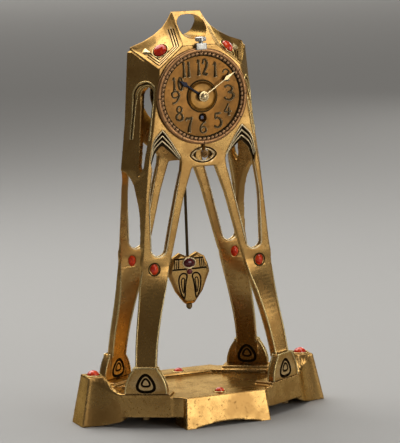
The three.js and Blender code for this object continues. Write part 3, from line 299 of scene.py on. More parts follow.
# near-black painted shade, lining cut recesses, grooves, notches and the gaps round stones
paintedShade = metal("paintedShade", (0.035, 0.022, 0.010), (0.010, 0.006, 0.003), (0.10, 0.07, 0.03),
                   (0.02, 0.012, 0.006), 0.5, size=120, specks=0.4)
copperBronze = metal("copperBronze", (0.340, 0.170, 0.068), (0.03, 0.015, 0.006), (0.62, 0.38, 0.20),
                     (0.17, 0.080, 0.030), 0.32, size=110, specks=0.45)
dialBronze = metal("dialBronze", (0.150, 0.058, 0.008), (0.03, 0.012, 0.004), (0.40, 0.20, 0.06),
                   (0.046, 0.021, 0.006), 0.36, size=55, specks=0.55, mottle=0.95)
discGold = metal("discGold", (0.235, 0.105, 0.015), (0.03, 0.012, 0.004), (0.52, 0.30, 0.10),
                 (0.090, 0.040, 0.010), 0.34, size=80, specks=0.5, mottle=0.8)
# used only for the pale copy under the numerals, a painted highlight
paleHighlightBronze = metal("paleHighlightBronze", (0.50, 0.37, 0.20), (0.08, 0.05, 0.02), (0.85, 0.70, 0.45),
                   (0.28, 0.18, 0.08), 0.33, size=110, specks=0.3)
numeralDark = metal("numeralDark", (0.070, 0.047, 0.022), (0.012, 0.008, 0.004), (0.20, 0.14, 0.07),
                    (0.04, 0.027, 0.012), 0.36, size=140, specks=0.3, highlightAmount=0.3)
paleGold = metal("paleGold", (0.80, 0.62, 0.34), (0.20, 0.13, 0.05), (0.95, 0.86, 0.62),
                 (0.55, 0.38, 0.17), 0.24, size=150, specks=0.2)
# dark brown: the own colour of the rating nut and foot screws, and painted shade lining the roof, side and
# tray grooves
brownPatinaAndShade = metal("brownPatinaAndShade", (0.12, 0.074, 0.030), (0.03, 0.018, 0.008), (0.30, 0.20, 0.09),
                    (0.07, 0.042, 0.018), 0.42, size=90, specks=0.4)


stone = dict(dark=0.35, light=0.65, roughness=0.08, coat=0.2, coatRoughness=0.03, ior=1.45)


def stoneMaterial(name, light, deep, size, paintedGlow):  # the emission is painted light, standing in for the light a cabochon's foil backing throws back
    mat, tree, shader = newMaterial(name)
    where = tree.nodes.new("ShaderNodeTexCoord").outputs["Object"]
    swirl = node(tree, "ShaderNodeTexNoise", Scale=size, Detail=3.0, Distortion=1.2)
    tree.links.new(where, swirl.inputs["Vector"])
    colour = ramp(tree, swirl.outputs["Fac"], [(stone["dark"], deep), (stone["light"], light)])
    tree.links.new(colour, shader.inputs["Base Color"])
    tree.links.new(colour, shader.inputs["Emission Color"])
    for label, value in (("Emission Strength", paintedGlow), ("Roughness", stone["roughness"]),
                         ("IOR", stone["ior"]), ("Coat Weight", stone["coat"]),
                         ("Coat Roughness", stone["coatRoughness"])):
        shader.inputs[label].default_value = value
    return mat


# both stones give off a little painted light through their emission
redStone = stoneMaterial("redStone", (0.82, 0.072, 0.012), (0.42, 0.012, 0.004), 160, 0.12)
darkStone = stoneMaterial("darkStone", (0.16, 0.010, 0.016), (0.030, 0.003, 0.006), 140, 0.02)
slotMaterial = dict(cast_brass=castBrass, bright_brass=brightBrass, bronze=bronze, steel=steel,
                    blued_steel=blueSteel, red_stone=redStone, dark_stone=darkStone)
ownFinish = dict(dial_plate=dialBronze, winding_arbor=blueSteel, rating_nut=brownPatinaAndShade,
                 pendulum_rod=numeralDark)
for part in frame["record"]["subparts"]:
    finish = ownFinish.get(part["node"], slotMaterial[part["material_slot"]])
    if part["node"].startswith("foot_screw"):
        finish = brownPatinaAndShade
    giveFinishes(nodes[part["node"]], [finish])
print("materials made")


# castings: the solids' own forms with every edge softened, as sand-cast brass has

casting = dict(voxel=0.6 * mm, swell=0.5 * mm, rounds=14,
               baseRounds=10, most=170000, towerAngle=58, baseAngle=75)


def softened(name, sources, voxel, rounds, swell=0.0, most=0):
    bm = bmesh.new()
    for source in sources:
        bm.from_mesh(nodes[source].data)
    bmesh.ops.remove_doubles(bm, verts=bm.verts, dist=weld)
    mesh = bpy.data.meshes.new(name)
    bm.to_mesh(mesh)
    bm.free()
    piece = newObject(name, mesh)
    if swell:
        addModifier(piece, "DISPLACE", strength=swell, mid_level=0.0)
    addModifier(piece, "REMESH", mode="VOXEL", voxel_size=voxel)
    addModifier(piece, "SMOOTH", factor=0.5, iterations=rounds)
    if swell:
        addModifier(piece, "DISPLACE", strength=-swell, mid_level=0.0)
    frozen(piece, name)
    count = sum(len(p.vertices) - 2 for p in piece.data.polygons)
    if most and count > most:
        addModifier(piece, "DECIMATE", ratio=most / count)
        frozen(piece, name)
    return piece


def addFitting(name, source, make, body, finish):  # a small solid with its edges softened
    made = softened(name, (source,), make["voxel"], make["rounds"])
    smoothFaces(made.data, make["angle"])
    place(made, body, finish, (source,))


def surfaceOf(obj):
    points = [v.co.copy() for v in obj.data.vertices]
    return BVHTree.FromPolygons(points, [tuple(p.vertices) for p in obj.data.polygons])


def drape(surface, points, along, lift=0.0, reach=0.03):  # points pushed along a direction onto a surface
    along = Vector(along).normalized()
    found = []
    for p in points:
        hit = surface.ray_cast(Vector(p) - along * reach, along, 2 * reach)[0]
        found.append((hit if hit else Vector(p)) - along * lift)
    return found


# lines: smooth curves through a few points, rounded triangles by corner cutting

def curveThrough(points, steps, closed=False):
    pts = [Vector(p) for p in points]
    count = len(pts)
    out = []
    for i in range(count if closed else count - 1):
        if closed:
            a, b, c, d = (pts[(i + k) % count] for k in (-1, 0, 1, 2))
        else:
            b, c = pts[i], pts[i + 1]
            a = pts[i - 1] if i else b + (b - c)
            d = pts[i + 2] if i + 2 < count else c + (c - b)
        for s in range(steps):
            t = s / steps
            out.append(0.5 * ((2 * b) + (c - a) * t + (2 * a - 5 * b + 4 * c - d) * t * t
                              + (3 * b - a - 3 * c + d) * t ** 3))
    if not closed:
        out.append(pts[-1])
    return out


def stretched(points, steps, closed=False):  # straight runs between the points, cut short
    pts = [Vector(p) for p in points]
    ends = list(zip(pts, pts[1:] + pts[:1])) if closed else list(zip(pts, pts[1:]))
    out = [a.lerp(b, s / steps) for a, b in ends for s in range(steps)]
    return out if closed else out + [pts[-1]]


def cornerCut(points, rounds):
    pts = [Vector(p) for p in points]
    for _ in range(rounds):
        pts = [q for a, b in zip(pts, pts[1:] + pts[:1]) for q in (a.lerp(b, 0.25), a.lerp(b, 0.75))]
    return pts


def lineMesh(name, lines):  # each line is (points, closed) or (points, closed, widths)
    points, edges, widths = [], [], []
    for line in lines:
        first = len(points)
        run = line[0]
        points += run
        widths += list(line[2]) if len(line) > 2 else [1.0] * len(run)
        edges += [(first + i, first + i + 1) for i in range(len(run) - 1)]
        if line[1]:
            edges.append((first + len(run) - 1, first))
    mesh = bpy.data.meshes.new(name)
    mesh.from_pydata([tuple(p) for p in points], edges, [])
    mesh.attributes.new("width", "FLOAT", "POINT").data.foreach_set("value", widths)
    return mesh


def newNodes(name, sizes, result):  # a geometry tree: a shape, its sizes and a finish
    inputs = [("Shape", "NodeSocketGeometry"), *sizes, ("Finish", "NodeSocketMaterial")]
    made = newTree(name, "GeometryNodeTree", inputs, [(result, "NodeSocketGeometry")])
    made[0].is_modifier = True
    return made


def closeTree(tree, start, end, source):  # realised, smooth shaded and finished
    real = tree.nodes.new("GeometryNodeRealizeInstances")
    shade = tree.nodes.new("GeometryNodeSetShadeSmooth")
    finish = tree.nodes.new("GeometryNodeSetMaterial")
    tree.links.new(source, shade.inputs["Geometry"])
    tree.links.new(shade.outputs["Geometry"], real.inputs["Geometry"])
    tree.links.new(real.outputs["Geometry"], finish.inputs["Geometry"])
    tree.links.new(start.outputs["Finish"], finish.inputs["Material"])
    tree.links.new(finish.outputs["Geometry"], end.inputs[0])
    return tree


def trimLineTree():  # sweeps a round section along lines, each point with its own width
    tree, start, end = newNodes("trimLine", [
        ("Radius", "NodeSocketFloat", 0.5 * mm), ("Sides", "NodeSocketInt", 8)], "Trim")
    path = tree.nodes.new("GeometryNodeMeshToCurve")
    width = node(tree, "GeometryNodeInputNamedAttribute", data_type="FLOAT", Name="width")
    section = tree.nodes.new("GeometryNodeCurvePrimitiveCircle")
    sweep = node(tree, "GeometryNodeCurveToMesh", **{"Fill Caps": True})
    tree.links.new(start.outputs["Shape"], path.inputs["Mesh"])
    tree.links.new(start.outputs["Radius"], section.inputs["Radius"])
    tree.links.new(start.outputs["Sides"], section.inputs["Resolution"])
    tree.links.new(path.outputs["Curve"], sweep.inputs["Curve"])
    tree.links.new(width.outputs["Attribute"], sweep.inputs["Scale"])
    tree.links.new(section.outputs["Curve"], sweep.inputs["Profile Curve"])
    return closeTree(tree, start, end, sweep.outputs["Mesh"])


def ringMarksTree():  # one softened bar repeated round a ring, on any axis
    tree, start, end = newNodes("ringMarks", [
        ("Count", "NodeSocketInt", 60), ("Radius", "NodeSocketFloat", 40 * mm),
        ("Bar", "NodeSocketVector", (1, 1, 1)), ("Turn", "NodeSocketVector", (0, 0, 0)),
        ("Centre", "NodeSocketVector", (0, 0, 0))], "Marks")
    ring = tree.nodes.new("GeometryNodeMeshCircle")
    bar = tree.nodes.new("GeometryNodeMeshCube")
    bar.inputs["Size"].default_value = (1, 1, 1)
    eased = node(tree, "GeometryNodeSubdivisionSurface", Level=1)
    eased.inputs["Edge Crease"].default_value = 0.7
    sized = tree.nodes.new("GeometryNodeTransform")
    index = tree.nodes.new("GeometryNodeInputIndex")
    step = maths(tree, "DIVIDE", 2 * math.pi, start.outputs["Count"])
    angle = maths(tree, "MULTIPLY", index.outputs[0], step)
    heading = tree.nodes.new("ShaderNodeCombineXYZ")
    spread = tree.nodes.new("GeometryNodeInstanceOnPoints")
    turned = tree.nodes.new("GeometryNodeTransform")
    link = tree.links.new
    link(start.outputs["Count"], ring.inputs["Vertices"])
    link(start.outputs["Radius"], ring.inputs["Radius"])
    link(bar.outputs["Mesh"], eased.inputs["Mesh"])
    link(eased.outputs["Mesh"], sized.inputs["Geometry"])
    link(start.outputs["Bar"], sized.inputs["Scale"])
    link(angle, heading.inputs["Z"])
    link(ring.outputs["Mesh"], spread.inputs["Points"])
    link(sized.outputs["Geometry"], spread.inputs["Instance"])
    link(heading.outputs["Vector"], spread.inputs["Rotation"])
    link(spread.outputs["Instances"], turned.inputs["Geometry"])
    link(start.outputs["Turn"], turned.inputs["Rotation"])
    link(start.outputs["Centre"], turned.inputs["Translation"])
    return closeTree(tree, start, end, turned.outputs["Geometry"])


trimLine = trimLineTree()
ringMarks = ringMarksTree()


def grown(name, mesh, tree, finish, **sizes):  # a tree run on a seed mesh and kept as plain mesh
    piece = newObject(name, mesh)
    mod = addModifier(piece, "NODES")
    mod.node_group = tree
    for label, value in sizes.items():
        setInput(mod, tree, label, value)
    setInput(mod, tree, "Finish", finish)
    return frozen(piece, name)


def sweptLines(name, lines, radius, finish, sides=8):
    return grown(name, lineMesh(name, lines), trimLine, finish, Radius=radius, Sides=sides)


def addTrim(name, lines, radius, finish, body="case"):
    settle(sweptLines(name, lines, radius, finish), body)


def marksRound(name, count, radius, bar, centre, finish, turn=(math.pi / 2, 0, 0)):
    return grown(name, lineMesh(name, []), ringMarks, finish, Count=count, Radius=radius, Bar=bar, Turn=turn,
                 Centre=centre)


def prism(name, outline, front, back, finish):  # an outline in x and z, from one y to another
    count = len(outline)
    points = [(x, y, z) for y in (front, back) for x, z in outline]
    faces = [tuple(range(count)), tuple(range(2 * count - 1, count - 1, -1))]
    faces += [(i, i + count, (i + 1) % count + count, (i + 1) % count) for i in range(count)]
    piece = newObject(name, meshFrom(name, points, faces))
    tidyMesh(piece.data)
    piece.data.materials.append(finish)
    return piece


def carve(piece, cutters, body, lining, angle=40):  # each cut is lined with the cutter's own finish
    finishes = [body] + lining
    giveFinishes(piece, finishes)
    for cutter in cutters:
        lined = finishes.index(cutter.data.materials[-1])
        giveFinishes(cutter, finishes)
        cutter.data.polygons.foreach_set("material_index", [lined] * len(cutter.data.polygons))
        addModifier(piece, "BOOLEAN", operation="DIFFERENCE", solver="MANIFOLD", object=cutter,
                    material_mode="INDEX")
    frozen(piece, piece.name)
    for cutter in cutters:
        old = cutter.data
        bpy.data.objects.remove(cutter)
        bpy.data.meshes.remove(old)
    smoothFaces(piece.data, angle)


# the tower: both frames and the roof as one casting, then its carved ornament

tower = softened("towerCasting", ("front_frame", "back_frame", "roof"), casting["voxel"], casting["rounds"],
                 casting["swell"], casting["most"])
towerSkin = surfaceOf(tower)
print("tower", len(tower.data.polygons), "faces")

flange = dict(foot=(70.9, 45.7), out=(0.53, 0.848), base=32, centre=43.6, thick=6.0, proud=0.8,
              low=0.44, high=0.56, outer=(24.6, 21.4, 1.5), inner=(11.6, 9.6, 1.05), depth=0.15,
              reach=4 * mm)


def flangeTriangle(width, height):  # rounded, point up, in the flange's own plane
    low, high = height * flange["low"], height * flange["high"]
    return cornerCut([(-width / 2, -low, 0), (width / 2, -low, 0), (0, high, 0)], 3)


def flangeFrame(sx, sy):  # the foot, the way out and the way along of one flange
    ox, oy = flange["out"]
    foot = Vector((sx * flange["foot"][0], sy * flange["foot"][1], 0)) * mm
    return foot, Vector((sx * ox, sy * oy, 0)), Vector((sx * oy, -sy * ox, 0))


def flangeLines(size, inside):
    lines = []
    for sx, sy in corners:
        foot, out, side = flangeFrame(sx, sy)
        points = [foot + side * (p.x * mm) + Vector((0, 0, (flange["centre"] + p.y) * mm))
                  for p in flangeTriangle(size[0], size[1])]
        if inside:
            points = [p - out * (flange["thick"] * mm) for p in points]
        along = out if inside else -out
        lines.append((drape(towerSkin, points, along, flange["depth"] * -mm, flange["reach"]), True))
    return lines


recess = dict(steps=3, depth=1.2, extra=0.35, face=33.5, past=3, sunk=0.1, rib=0.75 * mm, thin=0.3,
              foot=[(27, 238), (51, 238)],  # below, x and z with what each step adds to them
              outer=[(52, 246, 0.3, 1.5), (47.9, 255.6, 0.45, 3.7), (40, 262, 0, 5)],
              inner=[(40, 262, 0, 5), (32.2, 256.2, 0, 3.4), (23, 247.5, 0, 1)])


def stepArch(s):  # the pointed head of one step, from the outer foot over the point to the inner foot
    outer, inner = (curveThrough([(x + dx * s, z + dz * s, 0) for x, z, dx, dz in recess[side]], 6)
                    for side in ("outer", "inner"))
    return [(p.x, p.y) for p in outer[:-1] + inner]


# each stepped recess is cut a little deeper and lined with painted shade
def recessCutters():
    found = []
    for s in range(1, recess["steps"] + 1):
        floor = recess["face"] - recess["depth"] * (recess["steps"] + 1 - s) - recess["extra"]
        for sx, sy in corners:
            outline = [(sx * x * mm, z * mm) for x, z in stepArch(s) + recess["foot"]]
            front = sy * (recess["face"] + recess["past"]) * mm
            found.append(prism("cutter", outline, front, sy * floor * mm, paintedShade))
    return found


def recessRibs():
    lines = []
    for s in range(1, recess["steps"] + 1):
        lip = recess["face"] - recess["depth"] * (recess["steps"] - s)
        run = stepArch(s)
        last = len(run) - 1
        bulge = [math.sin(math.pi * (0.06 + 0.88 * i / last)) for i in range(last + 1)]
        widths = [recess["thin"] + (1 - recess["thin"]) * b for b in bulge]
        for sx, sy in corners:
            points = [Vector((sx * x * mm, sy * (lip - recess["sunk"]) * mm, z * mm)) for x, z in run]
            lines.append((points, False, widths))
    return lines


roof = dict(top=(14.7, 1.5, 385), gable=(17.1, 33.5, 354.5), front=(41.3, 33.5, 334), side=(57.4, 0, 354),
            offsets=(3.4, 5.8, 8.2), lead=0.55, trail=0.42, groove=0.7 * mm, reach=12 * mm)


def insetCorner(corner, before, after, d):
    a, b = (before - corner).normalized(), (after - corner).normalized()
    return corner + (a + b) * (d / a.cross(b).length)


def roofPanel(sx, sy):
    spots = (roof["top"], roof["gable"], roof["front"], roof["side"])
    return [Vector((sx * x, sy * y, z)) * mm for x, y, z in spots]


def upward(normal):
    normal = normal.normalized()
    return normal if normal.z > 0 else -normal


def roofLines(offset):
    lines = []
    for sx, sy in corners:
        top, gable, front, side = roofPanel(sx, sy)
        inner = insetCorner(gable, top, front, offset * mm)
        outer = insetCorner(front, gable, side, offset * mm)
        high, low = inner + (top - gable) * roof["lead"], outer + (side - front) * roof["trail"]
        normal = upward((gable - top).cross(side - top))
        run = stretched([high, inner, outer, low], 12)
        lines.append((drape(towerSkin, run, -normal, 0.0, roof["reach"]), False))
    return lines


sideArch = dict(wall=62, y=20.5, z=308, half=7.5, rise=9.0, rib=2.2, groove=3.8, outer=5.4, tail=40,
                edge=30.6, cut=0.8 * mm, bead=0.85 * mm)


def sideArchLines(offset):  # round the head of each side slot and down both its sides
    half, rise = sideArch["half"] + offset, sideArch["rise"] + offset
    turn = [math.pi * i / 24 for i in range(25)]
    head = [(sideArch["y"] + half * math.cos(t), sideArch["z"] + rise * math.sin(t)) for t in turn]
    drops = [sideArch["tail"] * (8 - i) / 8 for i in range(8)]
    run = [(head[0][0], head[0][1] - d) for d in drops] + head
    run += [(head[-1][0], head[-1][1] - d) for d in reversed(drops)]
    lines = []
    for sx, sy in corners:
        points = [Vector((sx * sideArch["wall"], sy * min(y, sideArch["edge"]), z)) * mm for y, z in run]
        lines.append((drape(towerSkin, points, (-sx, 0, 0)), False))
    return lines


eye = dict(z=251.5, half=(13.2, 7.2), start=34, face=33.5, past=3, lid=-1.4, pupil=-2.4, depth=1.6,
           stretch=1.4, point=1.35, line=0.6 * mm, reach=4 * mm)


def eyeRun(grow):  # pointed at both ends
    half, rise = eye["half"][0] + eye["stretch"] * grow, eye["half"][1] + grow
    turn = fullTurn(48)
    lift = [math.copysign(abs(math.sin(t)) ** eye["point"], math.sin(t)) for t in turn]
    return [(half * math.cos(t), eye["z"] + rise * up) for t, up in zip(turn, lift)]


def eyeLines(grow):
    lines = []
    for sy in (-1, 1):
        points = [Vector((x, sy * eye["start"], z)) * mm for x, z in eyeRun(grow)]
        lines.append((drape(towerSkin, points, (0, -sy, 0), 0.0, eye["reach"]), True))
    return lines


# the middle of each eye, cut shallow and lined with painted shade
def eyeHollows():
    outline = [(x * mm, z * mm) for x, z in eyeRun(eye["pupil"])]
    front, back = (eye["face"] + eye["past"]) * mm, (eye["face"] - eye["depth"]) * mm
    return [prism("cutter", outline, sy * front, sy * back, paintedShade) for sy in (-1, 1)]


# the cuts are lined with painted shade: near-black in the recesses, flange grooves and eyes, dark brown in
# the roof and side grooves
cutters = recessCutters()
for size in (flange["outer"], flange["inner"]):
    for inside in (False, True):
        cutters.append(sweptLines("cutter", flangeLines(size, inside), size[2] * mm, paintedShade))
cutters += [sweptLines("cutter", roofLines(d), roof["groove"], brownPatinaAndShade) for d in roof["offsets"]]
cutters += [sweptLines("cutter", eyeLines(0.0), eye["line"], paintedShade)] + eyeHollows()
cutters += [sweptLines("cutter", sideArchLines(sideArch["groove"]), sideArch["cut"], brownPatinaAndShade)]
carve(tower, cutters, castBrass, [paintedShade, brownPatinaAndShade], casting["towerAngle"])
settle(tower, "case", ("front_frame", "back_frame", "roof"))
print("tower carved", sum(len(p.vertices) - 2 for p in tower.data.polygons), "triangles")

addTrim("slotRibs", recessRibs(), recess["rib"], paleGold)
addTrim("eyeLids", eyeLines(eye["lid"]), eye["line"], paleGold)
sideRibs = sideArchLines(sideArch["rib"]) + sideArchLines(sideArch["outer"])
addTrim("sideRibs", sideRibs, sideArch["bead"], brightBrass)

stud = dict(spot=(47.6, 12.0, 350.2), half=3.9 * mm, rise=1.7 * mm, sunk=0.5 * mm)


def roofStuds():  # a small four-sided point near the outer corner of each roof panel
    points, faces = [], []
    x, y, z = stud["spot"]
    for sx, sy in corners:
        _, gable, front, side = roofPanel(sx, sy)
        normal = upward((gable - front).cross(side - front))
        across = (side - front).normalized()
        along = normal.cross(across)
        spot = drape(towerSkin, [Vector((sx * x, sy * y, z)) * mm], -normal, 0.0, roof["reach"])[0]
        first = len(points)
        points += [spot + (across * u + along * v) * stud["half"] - normal * stud["sunk"]
                   for u, v in ((-1, -1), (1, -1), (1, 1), (-1, 1))]
        points.append(spot + normal * stud["rise"])
        faces.append((first, first + 1, first + 2, first + 3))
        faces += [(first + i, first + (i + 1) % 4, first + 4) for i in range(4)]
    piece = newObject("roofStuds", meshFrom("roofStuds", points, faces))
    tidyMesh(piece.data)
    return piece


place(roofStuds(), "case", brightBrass)


# rims: a bead down both edges of each leg and round each flange, on both faces
legSections = [(146, 52.4, 33.5, 27.5, 3), (131.9, 55.4, 34.3, 26.3, 12), (118.0, 58.5, 35.6, 24.2, 20),
               (100.0, 62.4, 37.4, 22.3, 25), (80.0, 66.3, 39.8, 20.9, 27), (62.0, 68.8, 42.3, 20.1, 29),
               (54.0, 69.6, 43.5, 20.5, 30.3)]  # height, x, y, width and turn
rim = dict(inset=0.9, radius=0.95 * mm, thick=6.0, sunk=0.2, start=0.25, swell=2.2)
flangeEdge = [(20.6, 0.6), (20.3, 5), (19.1, 10), (17.4, 14.5), (14.9, 19), (12.2, 22.8), (10.8, 24.6)]


def legRims():
    lines = []
    for sx, sy in corners:
        for side, deep in ((-1, 0), (-1, 1), (1, 0), (1, 1)):
            run = []
            for z, x, y, width, turn in legSections:
                c, s = math.cos(math.radians(turn)), math.sin(math.radians(turn))
                across = side * (width / 2 - rim["inset"])
                px = x - across * c - deep * rim["thick"] * s
                py = y + across * s - deep * rim["thick"] * c
                run.append(Vector((sx * px, sy * py, z)) * mm)
            path = curveThrough(run, 5)
            count = len(path) - 1
            widths = [min(1.0, rim["start"] + rim["swell"] * i / count) for i in range(count + 1)]
            lines.append((path, False, widths))
    return lines


def flangeRims():
    half = [(w - rim["inset"], flange["base"] + h) for w, h in flangeEdge]
    outline = half + [(-w, z) for w, z in reversed(half)]
    lines = []
    for sx, sy in corners:
        foot, out, side = flangeFrame(sx, sy)
        for level in (flange["proud"] - rim["sunk"], -flange["thick"] + rim["sunk"]):
            run = [foot + (side * w + out * level + Vector((0, 0, z))) * mm for w, z in outline]
            lines.append((curveThrough(run, 4), False))
    return lines


slotRim = dict(inner=((23.6, 237), (26.4, 225.5), (29.4, 213), (34.8, 189.5)), round=(48.2, 166, 8.0),
               outer=((56.0, 190), (55.6, 213), (53.4, 228), (51.0, 243)), faces=(33.4, 27.6),
               radius=0.75 * mm, thin=0.2, swell=6.0)


def slotRims():  # round each tall opening, on both faces of its wall
    x, z, r = slotRim["round"]
    turn = [math.radians(a) for a in range(5, 180, 10)]
    low = [(x - r * math.cos(t), z - r * math.sin(t)) for t in turn]
    spots = (*slotRim["inner"], *low, *slotRim["outer"])
    run = [(p.x, p.y) for p in curveThrough([(*p, 0) for p in spots], 3)]
    count = len(run) - 1
    ends = [min(i, count - i) / count for i in range(count + 1)]
    widths = [min(1.0, slotRim["swell"] * e + slotRim["thin"]) for e in ends]
    return [([Vector((sx * px, sy * y, pz)) * mm for px, pz in run], False, widths)
            for sx, sy in corners for y in slotRim["faces"]]


addTrim("slotRims", slotRims(), slotRim["radius"], paleGold)
addTrim("legRims", legRims(), rim["radius"], brightBrass)
addTrim("flangeRims", flangeRims(), rim["radius"], brightBrass)

base = softened("baseCasting", ("base",), casting["voxel"], casting["baseRounds"], 0.0, casting["most"])
tray = dict(quarter=[(75, 12), (78.6, 14.6), (39.6, 39.6), (31.3, 46.5)], floor=26.0, groove=0.9 * mm)


def allRound(quarter):
    right = quarter + [(-x, y) for x, y in reversed(quarter)]
    return right + [(-x, -y) for x, y in right]


# the tray groove is lined with painted shade
trayLine = stretched([Vector((x, y, tray["floor"])) * mm for x, y in allRound(tray["quarter"])], 6, True)
carve(base, [sweptLines("cutter", [(trayLine, True)], tray["groove"], brownPatinaAndShade)], castBrass, [brownPatinaAndShade],
      casting["baseAngle"])
settle(base, "case", ("base",))
print("castings done")


# jewels: smooth stones in turned collars that follow the casting

jewels = dict(voxel=0.4 * mm, rounds=3, collar=0.75 * mm, seat=0.65 * mm, grow=0.1 * mm, toe=1.35,
              spread=1.6, reach=8 * mm, ease=0.7 * mm, below=20 * mm, angle=60)
baseSkin = surfaceOf(base)


def jewelAxes(name):  # centre, outward axis and the two longer half widths of a stone
    points = np.unique(np.round(np.array([v.co for v in nodes[name].data.vertices]), 7), axis=0)
    centre = points.mean(axis=0)
    vectors = np.linalg.eigh(np.cov((points - centre).T))[1]
    reach = np.abs((points - centre) @ vectors).max(axis=0)
    return Vector(centre), [Vector(vectors[:, i]) for i in range(3)], reach


def toeScale(name):  # the stones on the two toes stand larger than the rest
    return jewels["toe"] if name in ("base_jewel_left", "base_jewel_right") else 1.0


def collarLine(name, skin, spare):
    centre, axes, reach = jewelAxes(name)
    reach = reach * toeScale(name)
    if name.startswith("leg"):  # set through the leg's face, so the ring lies in x and z
        low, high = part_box(name)
        axes, reach = [Vector((0, 1, 0)), Vector((1, 0, 0)), Vector((0, 0, 1))], (high - low) / 2
    away = centre - Vector((0, 0, centre.z - jewels["below"]))
    out = axes[0] if axes[0].dot(away) > 0 else -axes[0]
    wide, tall = reach[1] + jewels["grow"] + spare, reach[2] + jewels["grow"] + spare
    turn = fullTurn(40)
    run = [centre + axes[1] * (wide * math.cos(t)) + axes[2] * (tall * math.sin(t)) for t in turn]
    seat = drape(skin, run, -out, 0.0, jewels["reach"])
    heights = [(p - centre).dot(out) for p in seat]
    middle = sorted(heights)[len(heights) // 2]  # points that fall into the seat come back near the rest
    levels = [min(max(h, middle - jewels["ease"]), middle + jewels["ease"]) for h in heights]
    return [p + out * (level - h) for p, h, level in zip(seat, heights, levels)], True


collars, seats = [], []
for part in frame["record"]["subparts"]:
    label = part["node"]
    if part["material_slot"] != "red_stone":
        continue
    made = softened(label.replace("_", ".") + ".polished", (label,), jewels["voxel"], jewels["rounds"])
    smoothFaces(made.data, jewels["angle"])
    centre = jewelAxes(label)[0]
    larger = Matrix.Translation(centre) @ Matrix.Scale(toeScale(label), 4) @ Matrix.Translation(-centre)
    made.data.transform(larger)
    place(made, "case", redStone, (label,))
    skin = baseSkin if label.startswith("base") else towerSkin
    seats.append(collarLine(label, skin, 0.0))
    if not label.startswith("leg"):
        collars.append(collarLine(label, skin, jewels["collar"] * jewels["spread"]))
addTrim("jewelCollars", collars, jewels["collar"], brightBrass)
# the dark seat ring is painted shade in the gap round each stone
addTrim("jewelSeats", seats, jewels["seat"], paintedShade)
print("jewels set:", len(seats))


# turned pieces: a profile of (radius, height) spun about an axis

def turned(name, profile, origin, out, segments=96, closed=False):
    out = Vector(out)
    side = Vector((1, 0, 0))
    other = out.cross(side)
    points, rings = [], []
    for r, h in profile:
        centre = Vector(origin) + out * (h * mm)
        if r < 1e-6:
            rings.append([len(points)] * segments)
            points.append(centre)
            continue
        rings.append(list(range(len(points), len(points) + segments)))
        points += [centre + side * (r * mm * math.cos(t)) + other * (r * mm * math.sin(t))
                   for t in fullTurn(segments)]
    pairs = list(zip(rings, rings[1:])) + ([(rings[-1], rings[0])] if closed else [])
    faces = []
    for a, b in pairs:
        for i in range(segments):
            k = (i + 1) % segments
            face = list(dict.fromkeys((a[i], a[k], b[k], b[i])))
            if len(face) > 2:
                faces.append(face)
    piece = newObject(name, meshFrom(name, points, faces))
    tidyMesh(piece.data)
    smoothFaces(piece.data, angle=40)
    return piece


def flattened(piece, y, share):  # squeezes a relief towards its plane
    for v in piece.data.vertices:
        v.co.y = y + (v.co.y - y) * share


# dial: ring with its minute track, middle disc, numerals of plain swelling strokes

dial = dict(centre=306.7, plate=-35.0, trackRadius=40.05, trackBar=(2.9, 3.85, 1.1), trackHeight=1.45,
            trackEdge=41.25, notch=(4.4, 0.75, 1.6), notchRadius=43.4, notchHeight=2.4, hours=12, minutes=60,
            circles=(38.15, 14.9), circleHeight=-0.1, circleWidth=0.7 * mm)
dialSpot = Vector((0, dial["plate"], dial["centre"])) * mm
outward = Vector((0, -1, 0))

ringProfile = [(38.8, -0.2), (38.8, 0.9), (39.1, 1.2), (41.0, 1.2), (41.3, 1.4), (41.5, 2.0), (42.1, 2.35),
               (43.2, 2.4), (44.3, 2.3), (44.9, 1.95), (45.2, 1.4), (45.2, -0.2)]
ring = turned("dialBezel", ringProfile, dialSpot, outward, segments=120, closed=True)
notches = marksRound("cutter", dial["hours"], dial["notchRadius"] * mm, Vector(dial["notch"]) * mm,
                     dialSpot + outward * (dial["notchHeight"] * mm), paintedShade)
carve(ring, [notches], copperBronze, [paintedShade])
for face in ring.data.polygons:  # the floor between the track's bars gets painted shade, as the notches do
    away = face.center - dialSpot
    if math.hypot(away.x, away.z) < dial["trackEdge"] * mm:
        face.material_index = 1
settle(ring, "case", ("dial_ring",))
track = marksRound("minuteTrack", dial["minutes"], dial["trackRadius"] * mm, Vector(dial["trackBar"]) * mm,
                   dialSpot + outward * (dial["trackHeight"] * mm), copperBronze)
settle(track, "case")

bossBore = min(math.hypot(v.co.x, v.co.z - dialSpot.z) for v in nodes["centre_boss"].data.vertices) / mm
bossProfile = [(bossBore, -0.1), (bossBore, 0.8), (11.5, 0.8), (11.9, 0.45), (12.9, 0.45), (13.2, 0.95),
               (13.7, 1.2), (14.2, 1.05), (14.5, 0.5), (14.5, -0.1)]
boss = turned("dialMiddle", bossProfile, dialSpot, outward, segments=96, closed=True)
place(boss, "case", discGold, ("centre_boss",))


def dialCircle(radius):
    middle = dialSpot + outward * (dial["circleHeight"] * mm)
    return [middle + Vector((math.cos(t), 0, math.sin(t))) * (radius * mm) for t in fullTurn(96)], True


# the dial's two grooves are drawn as tubes of painted shade
addTrim("dialGrooves", [dialCircle(r) for r in dial["circles"]], dial["circleWidth"], paintedShade)

